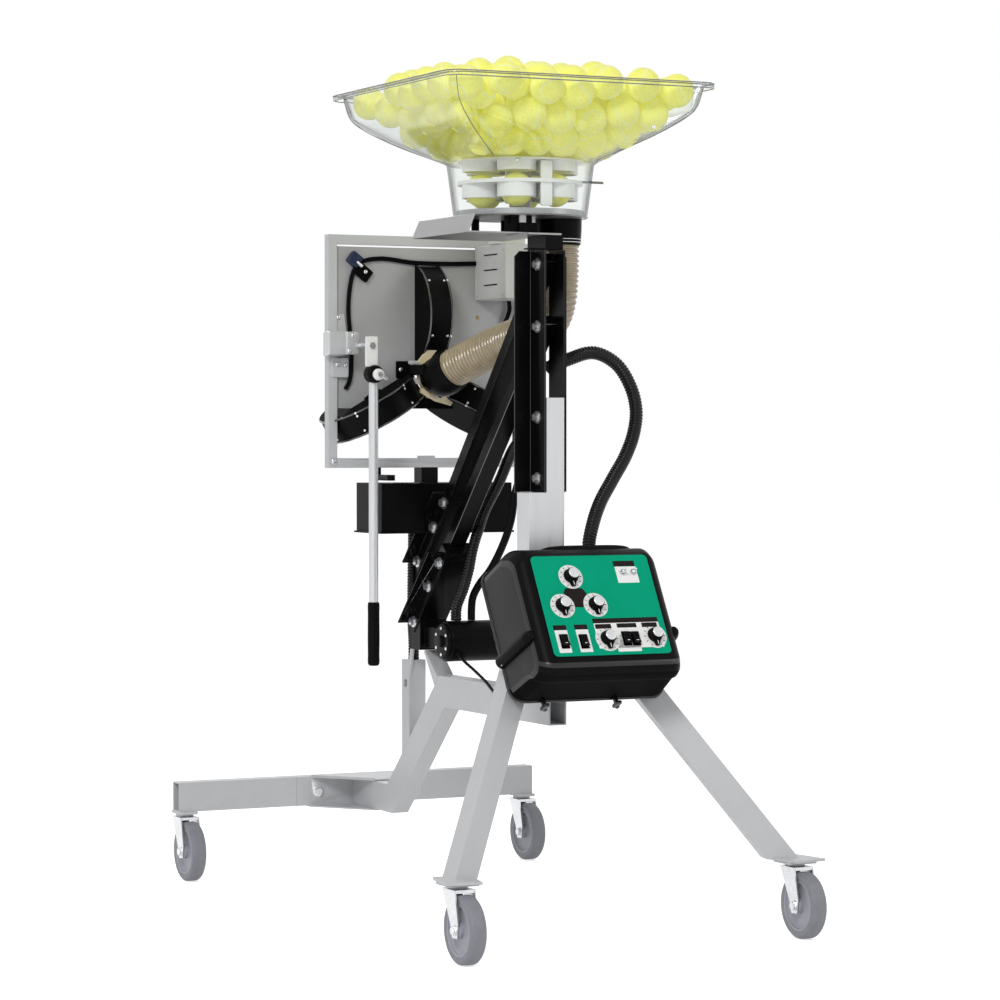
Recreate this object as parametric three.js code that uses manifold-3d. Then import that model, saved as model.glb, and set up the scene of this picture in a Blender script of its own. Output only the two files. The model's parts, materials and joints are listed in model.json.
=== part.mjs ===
import * as THREE from "three";
import { mergeVertices } from "three/addons/utils/BufferGeometryUtils.js";
import Module from "manifold-3d";

// Frame: millimetres, Z up, +Y the way the balls fly, +X to the operator's right.

// Shared sizes and clearances
const GAP = 0.3;
const BITE = 1;
const ROUND = 16;
const FINE_ROUND = 28;
const SMALL_ROUND = 8;
const WHEEL_ROUND = 16;
const CUP_ROUND = 12;
const REACH = 2000;
const BOLT = { washer: 12.5, washerThick: 2, head: 8, headTall: 7 };

// Rolling base
const BEAM = { rear: 623, front: 661, bottom: 146, top: 209.5, end: 424, wall: 3 };
const RECEIVER = { half: 151, boltX: 101, boltZ: 177 };
const GUSSET = { wide: 118, tip: 500, thick: 3.2 };
const SPINE = {
  half: 19,
  wall: 3,
  pocket: 60,
  stubTop: 207,
  stubBottom: 146,
  upperKneeY: 436,
  upperKneeZ: 206,
  lowerKneeY: 410,
  lowerKneeZ: 146,
  bendBottomY: 146,
  bendTopY: 181,
  bendTopZ: 447,
  railTopY: 176,
  railBottom: 393,
  railTop: 457,
  railEnd: -334,
};
const STRUT = { footY: 195, footZ: 440, topY: 246, topZ: 502, thick: 5 };
const SUPPORT = { rear: 320, front: 358, top: 480, hole: 9, holeZ: 430 };
const TAB = { low: 440, topY: 293, topZ: 530, wide: 14, inner: 15, outer: 19 };
const LEG = {
  foot: [340, -606, 146],
  apex: [0, -278, 705],
  thin: 38,
  deep: 50,
  rollDeg: 26,
  over: 80,
  clearRear: -325.3,
  clearSide: 19.3,
};
const FOOT_PLATE = { long: 92, wide: 72, thick: 5, turnDeg: 12 };

// Casters
const CASTER = {
  wheelR: 63.5,
  wheelHalf: 16,
  trail: 32,
  rearX: 356,
  rearY: -632,
  frontX: 405,
  frontY: 640,
  padR: 24,
  padFoot: 136,
  padPlate: 141,
  plateHalf: 30,
  narrowHalf: 19,
};
const FORK = {
  inner: 18.5,
  outer: 21.5,
  crown: 129.5,
  top: 135.7,
  noseY: 20,
  heelY: -32,
  bendY: -46,
  bendZ: 78,
  tipY: -43,
  tipZ: 50,
  toeY: -22,
  toeZ: 49,
  instepY: -15,
  instepZ: 72,
  axleR: 5,
  axleHalf: 26,
};
const WHEEL = { bore: 5.4, hubR: 15, hubHalf: 17.8, webR: 46, webHalf: 8, shoulder: 60, chamfer: 4 };

// Mast
const BOX_SEAT = { half: 15, thick: 3, fromN: 600, toN: 668 };
const MAST = { half: 19, rear: -325, front: -272, top: 1029, sideEdge: -58, pocket: 120 };
const ANGLE = {
  web: 3,
  rear: -322,
  flangeRear: -260,
  flangeFront: -257,
  out: 57,
  foot: 845,
  top: 1315,
  corner: 11,
  boltY: -290,
  boltsUp: [27, 146],
  boltsDown: [148, 27],
};
const ARM = { half: 18, deep: 25, stopY: 239.7 };
const UPPER_ARM = { headY: -300, headDrop: 21.3, passY: 124, passZ: 822 };
const LOWER_ARM = { headY: -300, headDrop: 143.2, passY: 134, passZ: 715 };
const BRACKET = { web: 3, flange: 27, wide: 30, gap: 1.3 };
const UPPER_BRACKET = {
  fromY: 128,
  fromZ: 829,
  toY: 280,
  toZ: 679,
  boltY: [141, 190, 268],
  boltZ: [816, 765, 691],
};
const LOWER_BRACKET = {
  fromY: 128,
  fromZ: 705,
  toY: 280,
  toZ: 553,
  boltY: [141, 196, 268],
  boltZ: [692, 642, 565],
};
const UPRIGHT = {
  half: 19,
  rear: 240,
  front: 290,
  foot: 506.3,
  shoulder: 570,
  clear: 3,
  blockHalf: 30,
  blockRear: 241,
};
const SLEEVE = { drop: 22.5, lift: 12, endY: 108 };

// Power unit across the rail
const UNIT = {
  y: 111,
  z: 532,
  radius: 42,
  left: -42,
  right: 170,
  capThick: 8,
  capR: 38,
  hubR: 13,
  hubTall: 6,
  screwR: 4,
  screwRing: 27,
  screwTall: 3,
  armRear: 140,
  armFront: 239.7,
  armLow: 512,
  armHigh: 556,
};

// Oscillation box with its crank pin
const SWING_BOX = {
  half: 149,
  rear: 171,
  front: 300,
  clear: 31,
  tall: 104,
  flange: 4,
  pocketLeft: -145,
  pocketRight: -26,
  pocketFront: 250,
  pocketRear: 175,
  pocketDeep: 49,
  wellR: 30,
  slotHalf: 52,
  slotFront: 239,
  slotStep: 7,
};
const CRANK = { x: -119, y: 200, radius: 7, wide: 14, tall: 10 };

// Yawing frame
const YAW = { y: 276 };
const FRAME = { half: 227, tube: 20, rear: 266, front: 286, below: 192, above: 292, postHalf: 19 };
const FRAME_BUMP = { half: 16, tall: 5 };
const LINK = { x: -119, rear: 192, front: 270, half: 7, clear: 5, tall: 12, tabHalf: 9 };
const PITCH = { y: 252, above: 65 };
const HINGE = {
  over: 12,
  inset: 0.5,
  rear: 243,
  pinOver: 2,
  below: 25,
  above: 24,
  pinR: 6,
  side: 4,
  lugWide: 21.5,
  lugHalf: 17,
  lugRear: 241,
  play: 0.4,
};

// Pitching head
const THROW = { z: 1080, ring: 128, y: 307, turns: [90, 210, 330] };
const PLATE = {
  clear: 3,
  below: 68,
  above: 268,
  rear: 273,
  front: 276,
  slotHalf: 27.5,
  slotIn: 20,
  slotOut: 236.5,
};
const THROAT = {
  bore: 35,
  ringR: 39,
  rear: 200,
  ringFront: 222,
  creamR: 38,
  creamFront: 240,
  holeR: 36.5,
};
const STRUTS = { ring: 42, radius: 5, rear: 205, turns: [30, 150, 270] };
const HOUSING = {
  radius: 110,
  half: 27,
  cavityR: 98,
  cavityHalf: 22,
  throatR: 36,
  notchIn: 1,
  notchY: 305,
};
const MOTOR = { radius: 28.7, tall: 90, capR: 24, capTall: 8 };
const THROWER = { radius: 94.5, half: 19, hub: 22, dish: 10, rim: 80, shaftR: 9, shaftPlay: 0.5 };
const LOUVRE = {
  inset: 14,
  wide: 82,
  rear: 142,
  proud: 2,
  tall: 113,
  rise: [31, 49, 67],
  slit: 5,
  slitDeep: 5,
  slitRear: 165,
  slitFront: 250,
  blockOver: 2,
  blockWide: 70,
  blockFront: 212,
  blockTall: 25,
};
const LEVER = {
  inset: 32,
  y: 160,
  radius: 10,
  below: 10,
  stem: 456,
  grip: 131,
  gripR: 12.5,
  discR: 14.5,
  discHalf: 9,
  discDrop: 1,
};
const LINKBAR = { half: 9, below: 2, tall: 77, footTall: 27, thick: 8 };

// Feed
const TRAY = { left: -168, right: 36, lipLeft: -152, rear: -276, front: -21, tall: 36, wall: 3 };
const TRAY_BRACKET = { half: 57, rear: -322, front: -222, tall: 32.4, plate: 4, gap: 14 };
const FEED = { x: 84, y: -172, spoutR: 42, bore: 36, spoutDrop: 19.3, floorR: 128.4, floorTall: 13.7 };
const FLOOR_FOOT = { x: [-65, -20], y: [-262, -230], pegR: 8, pegs: [[-70, -110], [5, -90]] };
const HOPPER = {
  y: -170,
  rim: 290,
  rimDepth: 288.5,
  flangeThick: 4,
  wallTop: 275,
  wallLow: 262,
  wallRise: 200.7,
  neckRise: 112.7,
  tall: 254.7,
  neckR: 146,
  footR: 132,
  skin: 3,
  sides: 48,
  corner: 1.22,
};
const CAROUSEL = {
  radius: 124,
  pitchR: 84,
  cups: 6,
  cupR: 38.5,
  hole: 35,
  lift: 5,
  lowRise: 49,
  highRise: 91,
  disc: 3,
  hubR: 22,
  hubTall: 109,
};
const HOSE = { crest: 41, groove: 37.5, bore: 35, sides: 8, boreEvery: 5, upperRibs: 40, ribs: 58 };
const HOSE_DROP = [
  [0, 0, 0.3],
  [0, 0, 43],
  [0, 2, 95],
  [-1, 10, 143],
];
const HOSE_REACH = [
  [80, -138, 1186],
  [71, -75, 1163],
  [56, 16, 1144],
  [32, 98, 1118],
  [12, 155, 1097],
];
const HOSE_END = [
  [2, 22, 4],
  [0, 10, 0],
  [0, 0.8, 0],
];

// Tilted control box: sizes run across (x), up the panel (v) and out of it (n)
const TILT_DEG = 30;
const SHELL = {
  half: 150,
  back: 626.3,
  front: 760,
  low: 145,
  backLow: 185,
  frontLow: 190,
  high: 430,
  shoulderN: 716,
  shoulderV: 430,
  browN: 745,
  browV: 418,
  faceTop: 400,
  chinN: 657,
  corner: 26,
  cornerSteps: 6,
};
const RIB = { fromN: 632, toN: 757, fromV: 233, toV: 255, proud: 7 };
const PANEL = { half: 120.5, low: 189, high: 402, thick: 2, corner: 9 };
const KNOB = {
  bodyR: 13,
  bodyTall: 15,
  capR: 10.5,
  capTall: 3,
  pointer: 2,
  at: [
    [-48.9, 355.4],
    [-81.5, 294.5],
    [-11.4, 294.9],
    [-4.8, 222.8],
    [96.7, 226],
  ],
};
const ROCKER = {
  half: 6.5,
  tall: 12,
  under: 2.5,
  thick: 5,
  tip: 7.5,
  stemHalf: 2,
  at: [
    [-96.6, 219.3],
    [-55.9, 218],
    [35.4, 221.5],
    [54.5, 220.9],
  ],
};
const TOGGLE = {
  collarR: 6.5,
  collarBore: 5.2,
  collarTall: 4,
  ballR: 4.6,
  ballN: 4.7,
  stemR: 2.4,
  stemTall: 17,
  at: [
    [64, 361.4],
    [86, 361.4],
  ],
};

// Conduits and cables
const CORDS = {
  control_conduit: {
    radius: 13.5,
    steps: 22,
    path: [
      [24, -242.8, 1088],
      [66, -242.8, 1104],
      [126, -243, 1119],
      [175, -246, 1097],
      [204, -252, 1052],
      [211, -262, 1006],
      [199, -275, 962],
      [172, -292, 917],
      [129, -315, 868],
      [90, -338, 824],
      [64, -357, 782],
      [50, -368.53, 740.82],
      [50, -382.03, 717.44],
    ],
  },
  arm_conduit: {
    radius: 11.5,
    steps: 24,
    path: [
      [6, -271.7, 975],
      [6, -245, 975],
      [24, -150, 958],
      [38, -60, 926],
      [48, 20, 864],
      [46, 90, 797],
      [45, 110, 767],
      [31, 101, 741],
      [20, 94, 714],
      [12, 92, 680],
      [2, 97, 640],
      [-7, 108, 606],
      [-8, 111, 592],
      [-8, 111, 574.4],
    ],
  },
  loop_cable: {
    radius: 8,
    steps: 20,
    path: [
      [8, -271.7, 930],
      [8, -250, 930],
      [40, -120, 900],
      [66, -30, 862],
      [71, 0, 830],
      [70, 10, 790],
      [67, 25, 755],
      [63, 60, 708],
      [55, 85, 675],
      [42, 102, 650],
      [30, 110, 622],
      [27, 111, 594],
      [27, 111, 574.4],
    ],
  },
  front_conduit: {
    radius: 12,
    steps: 12,
    path: [
      [-16, 306, 752.6],
      [-16, 306, 728],
      [-16, 309, 640],
      [-10, 322, 570],
      [0, 339, 518],
      [0, 339, 480.4],
    ],
  },
  power_cable: {
    radius: 3,
    steps: 14,
    path: [
      [-23, 74.2, 510.8],
      [-23, 68, 507],
      [-22, 40, 494],
      [-22, -6, 479],
      [-24, -66, 459],
      [-30, -105, 447],
      [-31, -122, 442],
      [-26, -126, 441],
      [-19.4, -126, 441],
    ],
  },
};

// Sizes that follow from others: the head from the throw line, the feed from the top of the mast
MAST.sideTop = ANGLE.foot;
ANGLE.bolts = [
  ...ANGLE.boltsUp.map((up) => ANGLE.foot + up),
  ...ANGLE.boltsDown.map((down) => ANGLE.top - down),
];
UPPER_ARM.headZ = ANGLE.top - UPPER_ARM.headDrop;
LOWER_ARM.headZ = ANGLE.top - LOWER_ARM.headDrop;
FRAME.bottom = THROW.z - FRAME.below;
FRAME.top = THROW.z + FRAME.above;
PITCH.z = THROW.z + PITCH.above;
PLATE.half = FRAME.half - FRAME.tube - PLATE.clear;
HOUSING.notchX = PLATE.half - HOUSING.notchIn;
HINGE.outer = FRAME.half + HINGE.over;
HINGE.inner = FRAME.half - FRAME.tube + HINGE.inset;
HINGE.lugOuter = HINGE.inner - HINGE.side;
HINGE.lugInner = HINGE.lugOuter - HINGE.lugWide;
HINGE.tip = HINGE.lugInner + HINGE.pinOver;
HINGE.low = PITCH.z - HINGE.below;
HINGE.high = PITCH.z + HINGE.above;
PLATE.bottom = THROW.z - PLATE.below;
PLATE.top = THROW.z + PLATE.above;
LOUVRE.right = PLATE.half - LOUVRE.inset;
LOUVRE.left = LOUVRE.right - LOUVRE.wide;
LOUVRE.block = [LOUVRE.left - LOUVRE.blockOver, LOUVRE.left - LOUVRE.blockOver + LOUVRE.blockWide];
LOUVRE.front = PLATE.rear - GAP;
LOUVRE.high = PLATE.top + LOUVRE.proud;
LOUVRE.low = LOUVRE.high - LOUVRE.tall;
LOUVRE.vents = LOUVRE.rise.map((up) => LOUVRE.low + up);
LOUVRE.blockTop = LOUVRE.high + LOUVRE.blockTall;
LEVER.x = LEVER.inset - PLATE.half;
LEVER.top = THROW.z - LEVER.below;
LEVER.neck = LEVER.top - LEVER.stem;
LEVER.bottom = LEVER.neck - LEVER.grip;
LINKBAR.low = THROW.z - LINKBAR.below;
LINKBAR.high = LINKBAR.low + LINKBAR.tall;
LINKBAR.footLow = LINKBAR.high - LINKBAR.footTall;
LINKBAR.footFront = PLATE.rear - GAP;
SWING_BOX.top = FRAME.bottom - SWING_BOX.clear;
SWING_BOX.bottom = SWING_BOX.top - SWING_BOX.tall;
SWING_BOX.flangeTop = SWING_BOX.bottom + SWING_BOX.flange;
SWING_BOX.pocketFloor = SWING_BOX.top - SWING_BOX.pocketDeep;
SWING_BOX.slotTop = SWING_BOX.pocketFloor + SWING_BOX.slotStep;
FRAME.postFoot = SWING_BOX.pocketFloor + GAP;
LINK.low = SWING_BOX.top + LINK.clear;
LINK.high = LINK.low + LINK.tall;
UPRIGHT.top = SWING_BOX.bottom - UPRIGHT.clear;
TRAY_BRACKET.low = ANGLE.top + GAP;
TRAY_BRACKET.high = TRAY_BRACKET.low + TRAY_BRACKET.tall;
TRAY.floor = TRAY_BRACKET.high + GAP;
TRAY.top = TRAY.floor + TRAY.tall;
FEED.floorLow = TRAY.top + GAP;
FEED.floorHigh = FEED.floorLow + FEED.floorTall;
FEED.spoutFoot = FEED.floorLow - FEED.spoutDrop;
HOPPER.foot = FEED.floorLow;
HOPPER.neckTop = HOPPER.foot + HOPPER.neckRise;
HOPPER.wallFoot = HOPPER.foot + HOPPER.wallRise;
HOPPER.top = HOPPER.foot + HOPPER.tall;
CAROUSEL.foot = FEED.floorHigh + CAROUSEL.lift;
CAROUSEL.lowDisc = CAROUSEL.foot + CAROUSEL.lowRise;
CAROUSEL.highDisc = CAROUSEL.foot + CAROUSEL.highRise;
CAROUSEL.hubTop = CAROUSEL.foot + CAROUSEL.hubTall;
const HOSE_PATH = [
  ...HOSE_DROP.map(([x, y, drop]) => [FEED.x + x, FEED.y + y, FEED.spoutFoot - drop]),
  ...HOSE_REACH,
  ...HOSE_END.map(([x, back, rise]) => [x, THROAT.rear - back, THROW.z + rise]),
];

const wasm = await Module();
wasm.setup();

// Helpers: every one returns or takes a closed solid
function solidOf(geometry) {
  const bare = new THREE.BufferGeometry();
  bare.setAttribute("position", geometry.getAttribute("position"));
  bare.setIndex(geometry.getIndex());
  const joined = mergeVertices(bare, 1e-4);
  const corners = joined.getIndex().array;
  const kept = [];
  for (let i = 0; i < corners.length; i += 3) {
    const [a, b, c] = [corners[i], corners[i + 1], corners[i + 2]];
    if (a !== b && b !== c && a !== c) kept.push(a, b, c);
  }
  const vertProperties = new Float32Array(joined.getAttribute("position").array);
  return new wasm.Manifold(
    new wasm.Mesh({ numProp: 3, vertProperties, triVerts: new Uint32Array(kept) }),
  );
}

function join(first, ...others) {
  return others.reduce((whole, next) => whole.add(next), first);
}

function cut(first, ...others) {
  return others.reduce((whole, next) => whole.subtract(next), first);
}

function mirrored(solid) {
  return solid.mirror([1, 0, 0]);
}

function block(x, y, z) {
  const box = new THREE.BoxGeometry(x[1] - x[0], y[1] - y[0], z[1] - z[0]);
  box.translate((x[0] + x[1]) / 2, (y[0] + y[1]) / 2, (z[0] + z[1]) / 2);
  return solidOf(box);
}

function vector(point) {
  return new THREE.Vector3(...point);
}

function rod(from, to, radius, sides = ROUND, tip = radius) {
  const [start, end] = [vector(from), vector(to)];
  const along = end.clone().sub(start);
  const shape = new THREE.CylinderGeometry(tip, radius, along.length(), sides);
  const turn = new THREE.Quaternion().setFromUnitVectors(vector([0, 1, 0]), along.normalize());
  shape.applyQuaternion(turn);
  shape.translate(...start.add(end).divideScalar(2).toArray());
  return solidOf(shape);
}

function prism(outline, from, to, placed) {
  const shape = new THREE.Shape(outline.map(([a, b]) => new THREE.Vector2(a, b)));
  const solid = new THREE.ExtrudeGeometry(shape, { depth: to - from, bevelEnabled: false });
  solid.translate(0, 0, from);
  solid.applyMatrix4(placed);
  return solidOf(solid);
}

function basis(a, b, c) {
  return new THREE.Matrix4().makeBasis(vector(a), vector(b), vector(c));
}

// Outlines drawn in (y, z) run along x, those in (x, z) back along y and those in (x, y) up z.
const ALONG_X = basis([0, 1, 0], [0, 0, 1], [1, 0, 0]);
const TOWARDS_REAR = basis([1, 0, 0], [0, 0, 1], [0, -1, 0]);
const UP_Z = basis([1, 0, 0], [0, 1, 0], [0, 0, 1]);
const TILT = THREE.MathUtils.degToRad(TILT_DEG);
const PANEL_UP = [0, Math.sin(TILT), Math.cos(TILT)];
const PANEL_OUT = [0, -Math.cos(TILT), Math.sin(TILT)];
const ON_PANEL = basis([1, 0, 0], PANEL_UP, PANEL_OUT);
const SIDEWAYS = basis(PANEL_OUT, PANEL_UP, [-1, 0, 0]);

function panelPoint(x, v, n) {
  return [x, v * PANEL_UP[1] + n * PANEL_OUT[1], v * PANEL_UP[2] + n * PANEL_OUT[2]];
}

function lathe(profile, centre, sides = FINE_ROUND) {
  const solid = new THREE.LatheGeometry(
    profile.map(([r, h]) => new THREE.Vector2(r, h)),
    sides,
  );
  solid.applyMatrix4(basis([0, 0, 1], [1, 0, 0], [0, 1, 0]));
  solid.translate(...centre);
  return solidOf(solid);
}

function rounded(halfX, low, high, radius, steps) {
  const points = [];
  const centres = [
    [halfX - radius, low + radius],
    [halfX - radius, high - radius],
    [radius - halfX, high - radius],
    [radius - halfX, low + radius],
  ];
  centres.forEach(([cx, cy], quarter) => {
    for (let i = 0; i <= steps; i++) {
      const angle = (Math.PI / 2) * (quarter - 1 + i / steps);
      points.push([cx + radius * Math.cos(angle), cy + radius * Math.sin(angle)]);
    }
  });
  return points;
}

// Rings of points joined into a closed skin; the last ring joins the first when looped.
function skin(rings, looped) {
  const sides = rings[0].length;
  const index = [];
  const last = looped ? rings.length : rings.length - 1;
  for (let k = 0; k < last; k++) {
    const [here, next] = [k * sides, ((k + 1) % rings.length) * sides];
    for (let i = 0; i < sides; i++) {
      const j = (i + 1) % sides;
      index.push(here + i, here + j, next + j, here + i, next + j, next + i);
    }
  }
  const points = rings.flat();
  if (!looped) {
    rings[0].forEach((_, i) => index.push(points.length, (i + 1) % sides, i));
    const end = (rings.length - 1) * sides;
    rings[0].forEach((_, i) => index.push(points.length + 1, end + i, end + ((i + 1) % sides)));
    points.push(centroid(rings[0]), centroid(rings[rings.length - 1]));
  }
  const geometry = new THREE.BufferGeometry().setFromPoints(points);
  geometry.setIndex(index);
  return solidOf(geometry);
}

function centroid(ring) {
  const sum = new THREE.Vector3();
  ring.forEach((point) => sum.add(point));
  return sum.divideScalar(ring.length);
}

function ringAt(curve, share, frame, radius, sides) {
  const centre = curve.getPointAt(share);
  const ring = [];
  for (let i = 0; i < sides; i++) {
    const angle = (2 * Math.PI * i) / sides;
    const point = centre.clone();
    point.addScaledVector(frame.side, radius * Math.cos(angle));
    point.addScaledVector(frame.up, radius * Math.sin(angle));
    ring.push(point);
  }
  return ring;
}

// Frames that turn with the curve but never twist about it
function framesOf(curve, steps) {
  const made = curve.computeFrenetFrames(steps, false);
  return made.normals.map((side, i) => ({ side, up: made.binormals[i] }));
}

function curveThrough(path) {
  return new THREE.CatmullRomCurve3(path.map(vector), false, "centripetal");
}

function cord({ path, radius, steps }) {
  const curve = curveThrough(path);
  const frames = framesOf(curve, steps);
  const rings = frames.map((frame, i) => ringAt(curve, i / steps, frame, radius, SMALL_ROUND));
  return skin(rings, false);
}

// The run of hose between two ribs, its start held back by a gap along the curve
function hoseRun(fromRib, toRib, gap) {
  const curve = curveThrough(HOSE_PATH);
  const steps = Math.round(HOSE.ribs) * 2;
  const frames = framesOf(curve, steps);
  const start = gap / curve.getLength();
  const [first, last] = [Math.round(fromRib) * 2, Math.round(toRib) * 2];
  const ring = (i, radius) => ringAt(
    curve,
    i / steps + (i === first ? start : 0),
    frames[i],
    radius,
    HOSE.sides,
  );
  const outer = [];
  for (let i = first; i <= last; i++) {
    outer.push(ring(i, i % 2 === 0 ? HOSE.groove : HOSE.crest));
  }
  const inner = [];
  for (let i = last; i > first; i -= 2 * Math.round(HOSE.boreEvery)) {
    inner.push(ring(i, HOSE.bore));
  }
  inner.push(ring(first, HOSE.bore));
  return skin([...outer, ...inner], true);
}

// A washer and bolt head standing on a face, pointing along out
function bolt(at, out) {
  const step = (far) => at.map((value, i) => value + out[i] * far);
  const washer = rod(step(-BITE), step(BOLT.washerThick), BOLT.washer, ROUND);
  const head = rod(step(0), step(BOLT.washerThick + BOLT.headTall), BOLT.head, 6);
  return washer.add(head);
}

// Base
function tubeBeam(from, to) {
  const shell = block([from, to], [BEAM.rear, BEAM.front], [BEAM.bottom, BEAM.top]);
  const inY = [BEAM.rear + BEAM.wall, BEAM.front - BEAM.wall];
  const inZ = [BEAM.bottom + BEAM.wall, BEAM.top - BEAM.wall];
  return shell.subtract(block([from - BITE, to + BITE], inY, inZ));
}

function casterPad(x, y, halfX) {
  const plate = block(
    [x - halfX, x + halfX],
    [y - CASTER.plateHalf, y + CASTER.plateHalf],
    [CASTER.padPlate, BEAM.bottom + BITE],
  );
  return plate.add(rod([x, y, CASTER.padFoot], [x, y, CASTER.padPlate + BITE], CASTER.narrowHalf));
}

function frontBeam() {
  const tube = tubeBeam(RECEIVER.half + GAP / 2, BEAM.end);
  return tube.add(casterPad(CASTER.frontX, CASTER.frontY, CASTER.narrowHalf));
}

function frontReceiver() {
  const half = RECEIVER.half - GAP / 2;
  const outline = [
    [-GUSSET.wide, BEAM.rear + BITE],
    [-SPINE.half, GUSSET.tip],
    [SPINE.half, GUSSET.tip],
    [GUSSET.wide, BEAM.rear + BITE],
  ];
  const topFoot = SPINE.stubTop + GAP;
  const lowTop = SPINE.stubBottom - GAP;
  const gussets = [
    prism(outline, topFoot, topFoot + GUSSET.thick, UP_Z),
    prism(outline, lowTop - GUSSET.thick, lowTop, UP_Z),
  ];
  const lip = block(
    [-GUSSET.wide, GUSSET.wide],
    [BEAM.rear, BEAM.front],
    [lowTop - GUSSET.thick, BEAM.bottom + BITE],
  );
  const bolts = [-RECEIVER.boltX, RECEIVER.boltX].map((x) =>
    bolt([x, BEAM.rear, RECEIVER.boltZ], [0, -1, 0]),
  );
  return join(tubeBeam(-half, half), lip, ...gussets, ...bolts);
}

function baseSpine() {
  const outline = [
    [BEAM.rear - GAP, SPINE.stubBottom],
    [BEAM.rear - GAP, SPINE.stubTop],
    [SPINE.upperKneeY, SPINE.upperKneeZ],
    [SPINE.bendTopY, SPINE.bendTopZ],
    [SPINE.railTopY, SPINE.railTop],
    [SPINE.railEnd, SPINE.railTop],
    [SPINE.railEnd, SPINE.railBottom],
    [SPINE.bendBottomY, SPINE.railBottom],
    [SPINE.lowerKneeY, SPINE.lowerKneeZ],
  ];
  const body = prism(outline, -SPINE.half, SPINE.half, ALONG_X);
  const inner = SPINE.half - SPINE.wall;
  const pocket = block(
    [-inner, inner],
    [SPINE.railEnd - BITE, SPINE.railEnd + SPINE.pocket],
    [SPINE.railBottom + SPINE.wall, SPINE.railTop - SPINE.wall],
  );
  const strutOutline = [
    [STRUT.footY, STRUT.footZ - STRUT.thick],
    [STRUT.topY, STRUT.topZ],
    [STRUT.topY - STRUT.thick, STRUT.topZ + STRUT.thick - BITE],
    [SPINE.railTopY, SPINE.railTop - STRUT.thick],
  ];
  return cut(body, pocket).add(prism(strutOutline, -SPINE.half, SPINE.half, ALONG_X));
}

function riserTopAt(y) {
  const share = (y - SPINE.upperKneeY) / (SPINE.bendTopY - SPINE.upperKneeY);
  return SPINE.upperKneeZ + share * (SPINE.bendTopZ - SPINE.upperKneeZ);
}

function frontSupport() {
  const outline = [
    [SUPPORT.rear, riserTopAt(SUPPORT.rear) + GAP * 2],
    [SUPPORT.front, riserTopAt(SUPPORT.front) + GAP * 2],
    [SUPPORT.front, SUPPORT.top],
    [SUPPORT.rear, SUPPORT.top],
  ];
  const post = prism(outline, -SPINE.half, SPINE.half, ALONG_X);
  const tab = [
    [SUPPORT.rear, TAB.low],
    [SUPPORT.rear + TAB.wide, TAB.low],
    [TAB.topY + TAB.wide, TAB.topZ],
    [TAB.topY, TAB.topZ],
  ];
  const middle = (SUPPORT.rear + SUPPORT.front) / 2;
  const hole = rod([-REACH, middle, SUPPORT.holeZ], [REACH, middle, SUPPORT.holeZ], SUPPORT.hole);
  return cut(post.add(prism(tab, -TAB.outer, -TAB.inner, ALONG_X)), hole);
}

// The right leg; the left one is its mirror image trimmed at its own face.
function legBar() {
  const [foot, apex] = [vector(LEG.foot), vector(LEG.apex)];
  const along = apex.clone().sub(foot).normalize();
  const level = new THREE.Vector3(along.y, -along.x, 0).normalize();
  const rise = along.clone().cross(level);
  const roll = THREE.MathUtils.degToRad(LEG.rollDeg);
  const thin = level.clone().multiplyScalar(Math.cos(roll)).addScaledVector(rise, Math.sin(roll));
  const deep = along.clone().cross(thin);
  const length = foot.distanceTo(apex) + LEG.over * 2;
  const bar = new THREE.BoxGeometry(LEG.thin, LEG.deep, length);
  bar.applyMatrix4(new THREE.Matrix4().makeBasis(thin, deep, along));
  bar.translate(...foot.add(apex).divideScalar(2).toArray());
  const ground = block([-REACH, REACH], [-REACH, REACH], [-REACH, LEG.foot[2] + BITE]);
  return cut(solidOf(bar), ground);
}

function footPlate() {
  const plate = new THREE.BoxGeometry(FOOT_PLATE.wide, FOOT_PLATE.long, FOOT_PLATE.thick);
  plate.rotateZ(THREE.MathUtils.degToRad(FOOT_PLATE.turnDeg));
  plate.translate(CASTER.rearX, CASTER.rearY, LEG.foot[2] + FOOT_PLATE.thick / 2);
  return solidOf(plate).add(casterPad(CASTER.rearX, CASTER.rearY, CASTER.plateHalf));
}

function rearLeg(trim) {
  return cut(legBar(), trim).add(footPlate());
}

function rearLegRight() {
  return rearLeg(block([-REACH, LEG.clearSide], [-REACH, REACH], [-REACH, REACH]));
}

function rearLegLeft() {
  return mirrored(rearLeg(block([-REACH, REACH], [LEG.clearRear, REACH], [-REACH, REACH])));
}

// Casters: fork and wheel at a swivel point
function casterFork(x, y) {
  const cheek = [
    [y + FORK.noseY, FORK.top],
    [y + FORK.heelY, FORK.top],
    [y + FORK.bendY, FORK.bendZ],
    [y + FORK.tipY, FORK.tipZ],
    [y + FORK.toeY, FORK.toeZ],
    [y + FORK.instepY, FORK.instepZ],
  ].reverse();
  const crown = block(
    [x - FORK.outer, x + FORK.outer],
    [y + FORK.heelY, y + FORK.noseY],
    [FORK.crown, FORK.top],
  );
  const cheeks = [
    prism(cheek, x - FORK.outer, x - FORK.inner, ALONG_X),
    prism(cheek, x + FORK.inner, x + FORK.outer, ALONG_X),
  ];
  const axleY = y - CASTER.trail;
  const axle = rod(
    [x - FORK.axleHalf, axleY, CASTER.wheelR],
    [x + FORK.axleHalf, axleY, CASTER.wheelR],
    FORK.axleR,
  );
  return join(crown, ...cheeks, axle);
}

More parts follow.
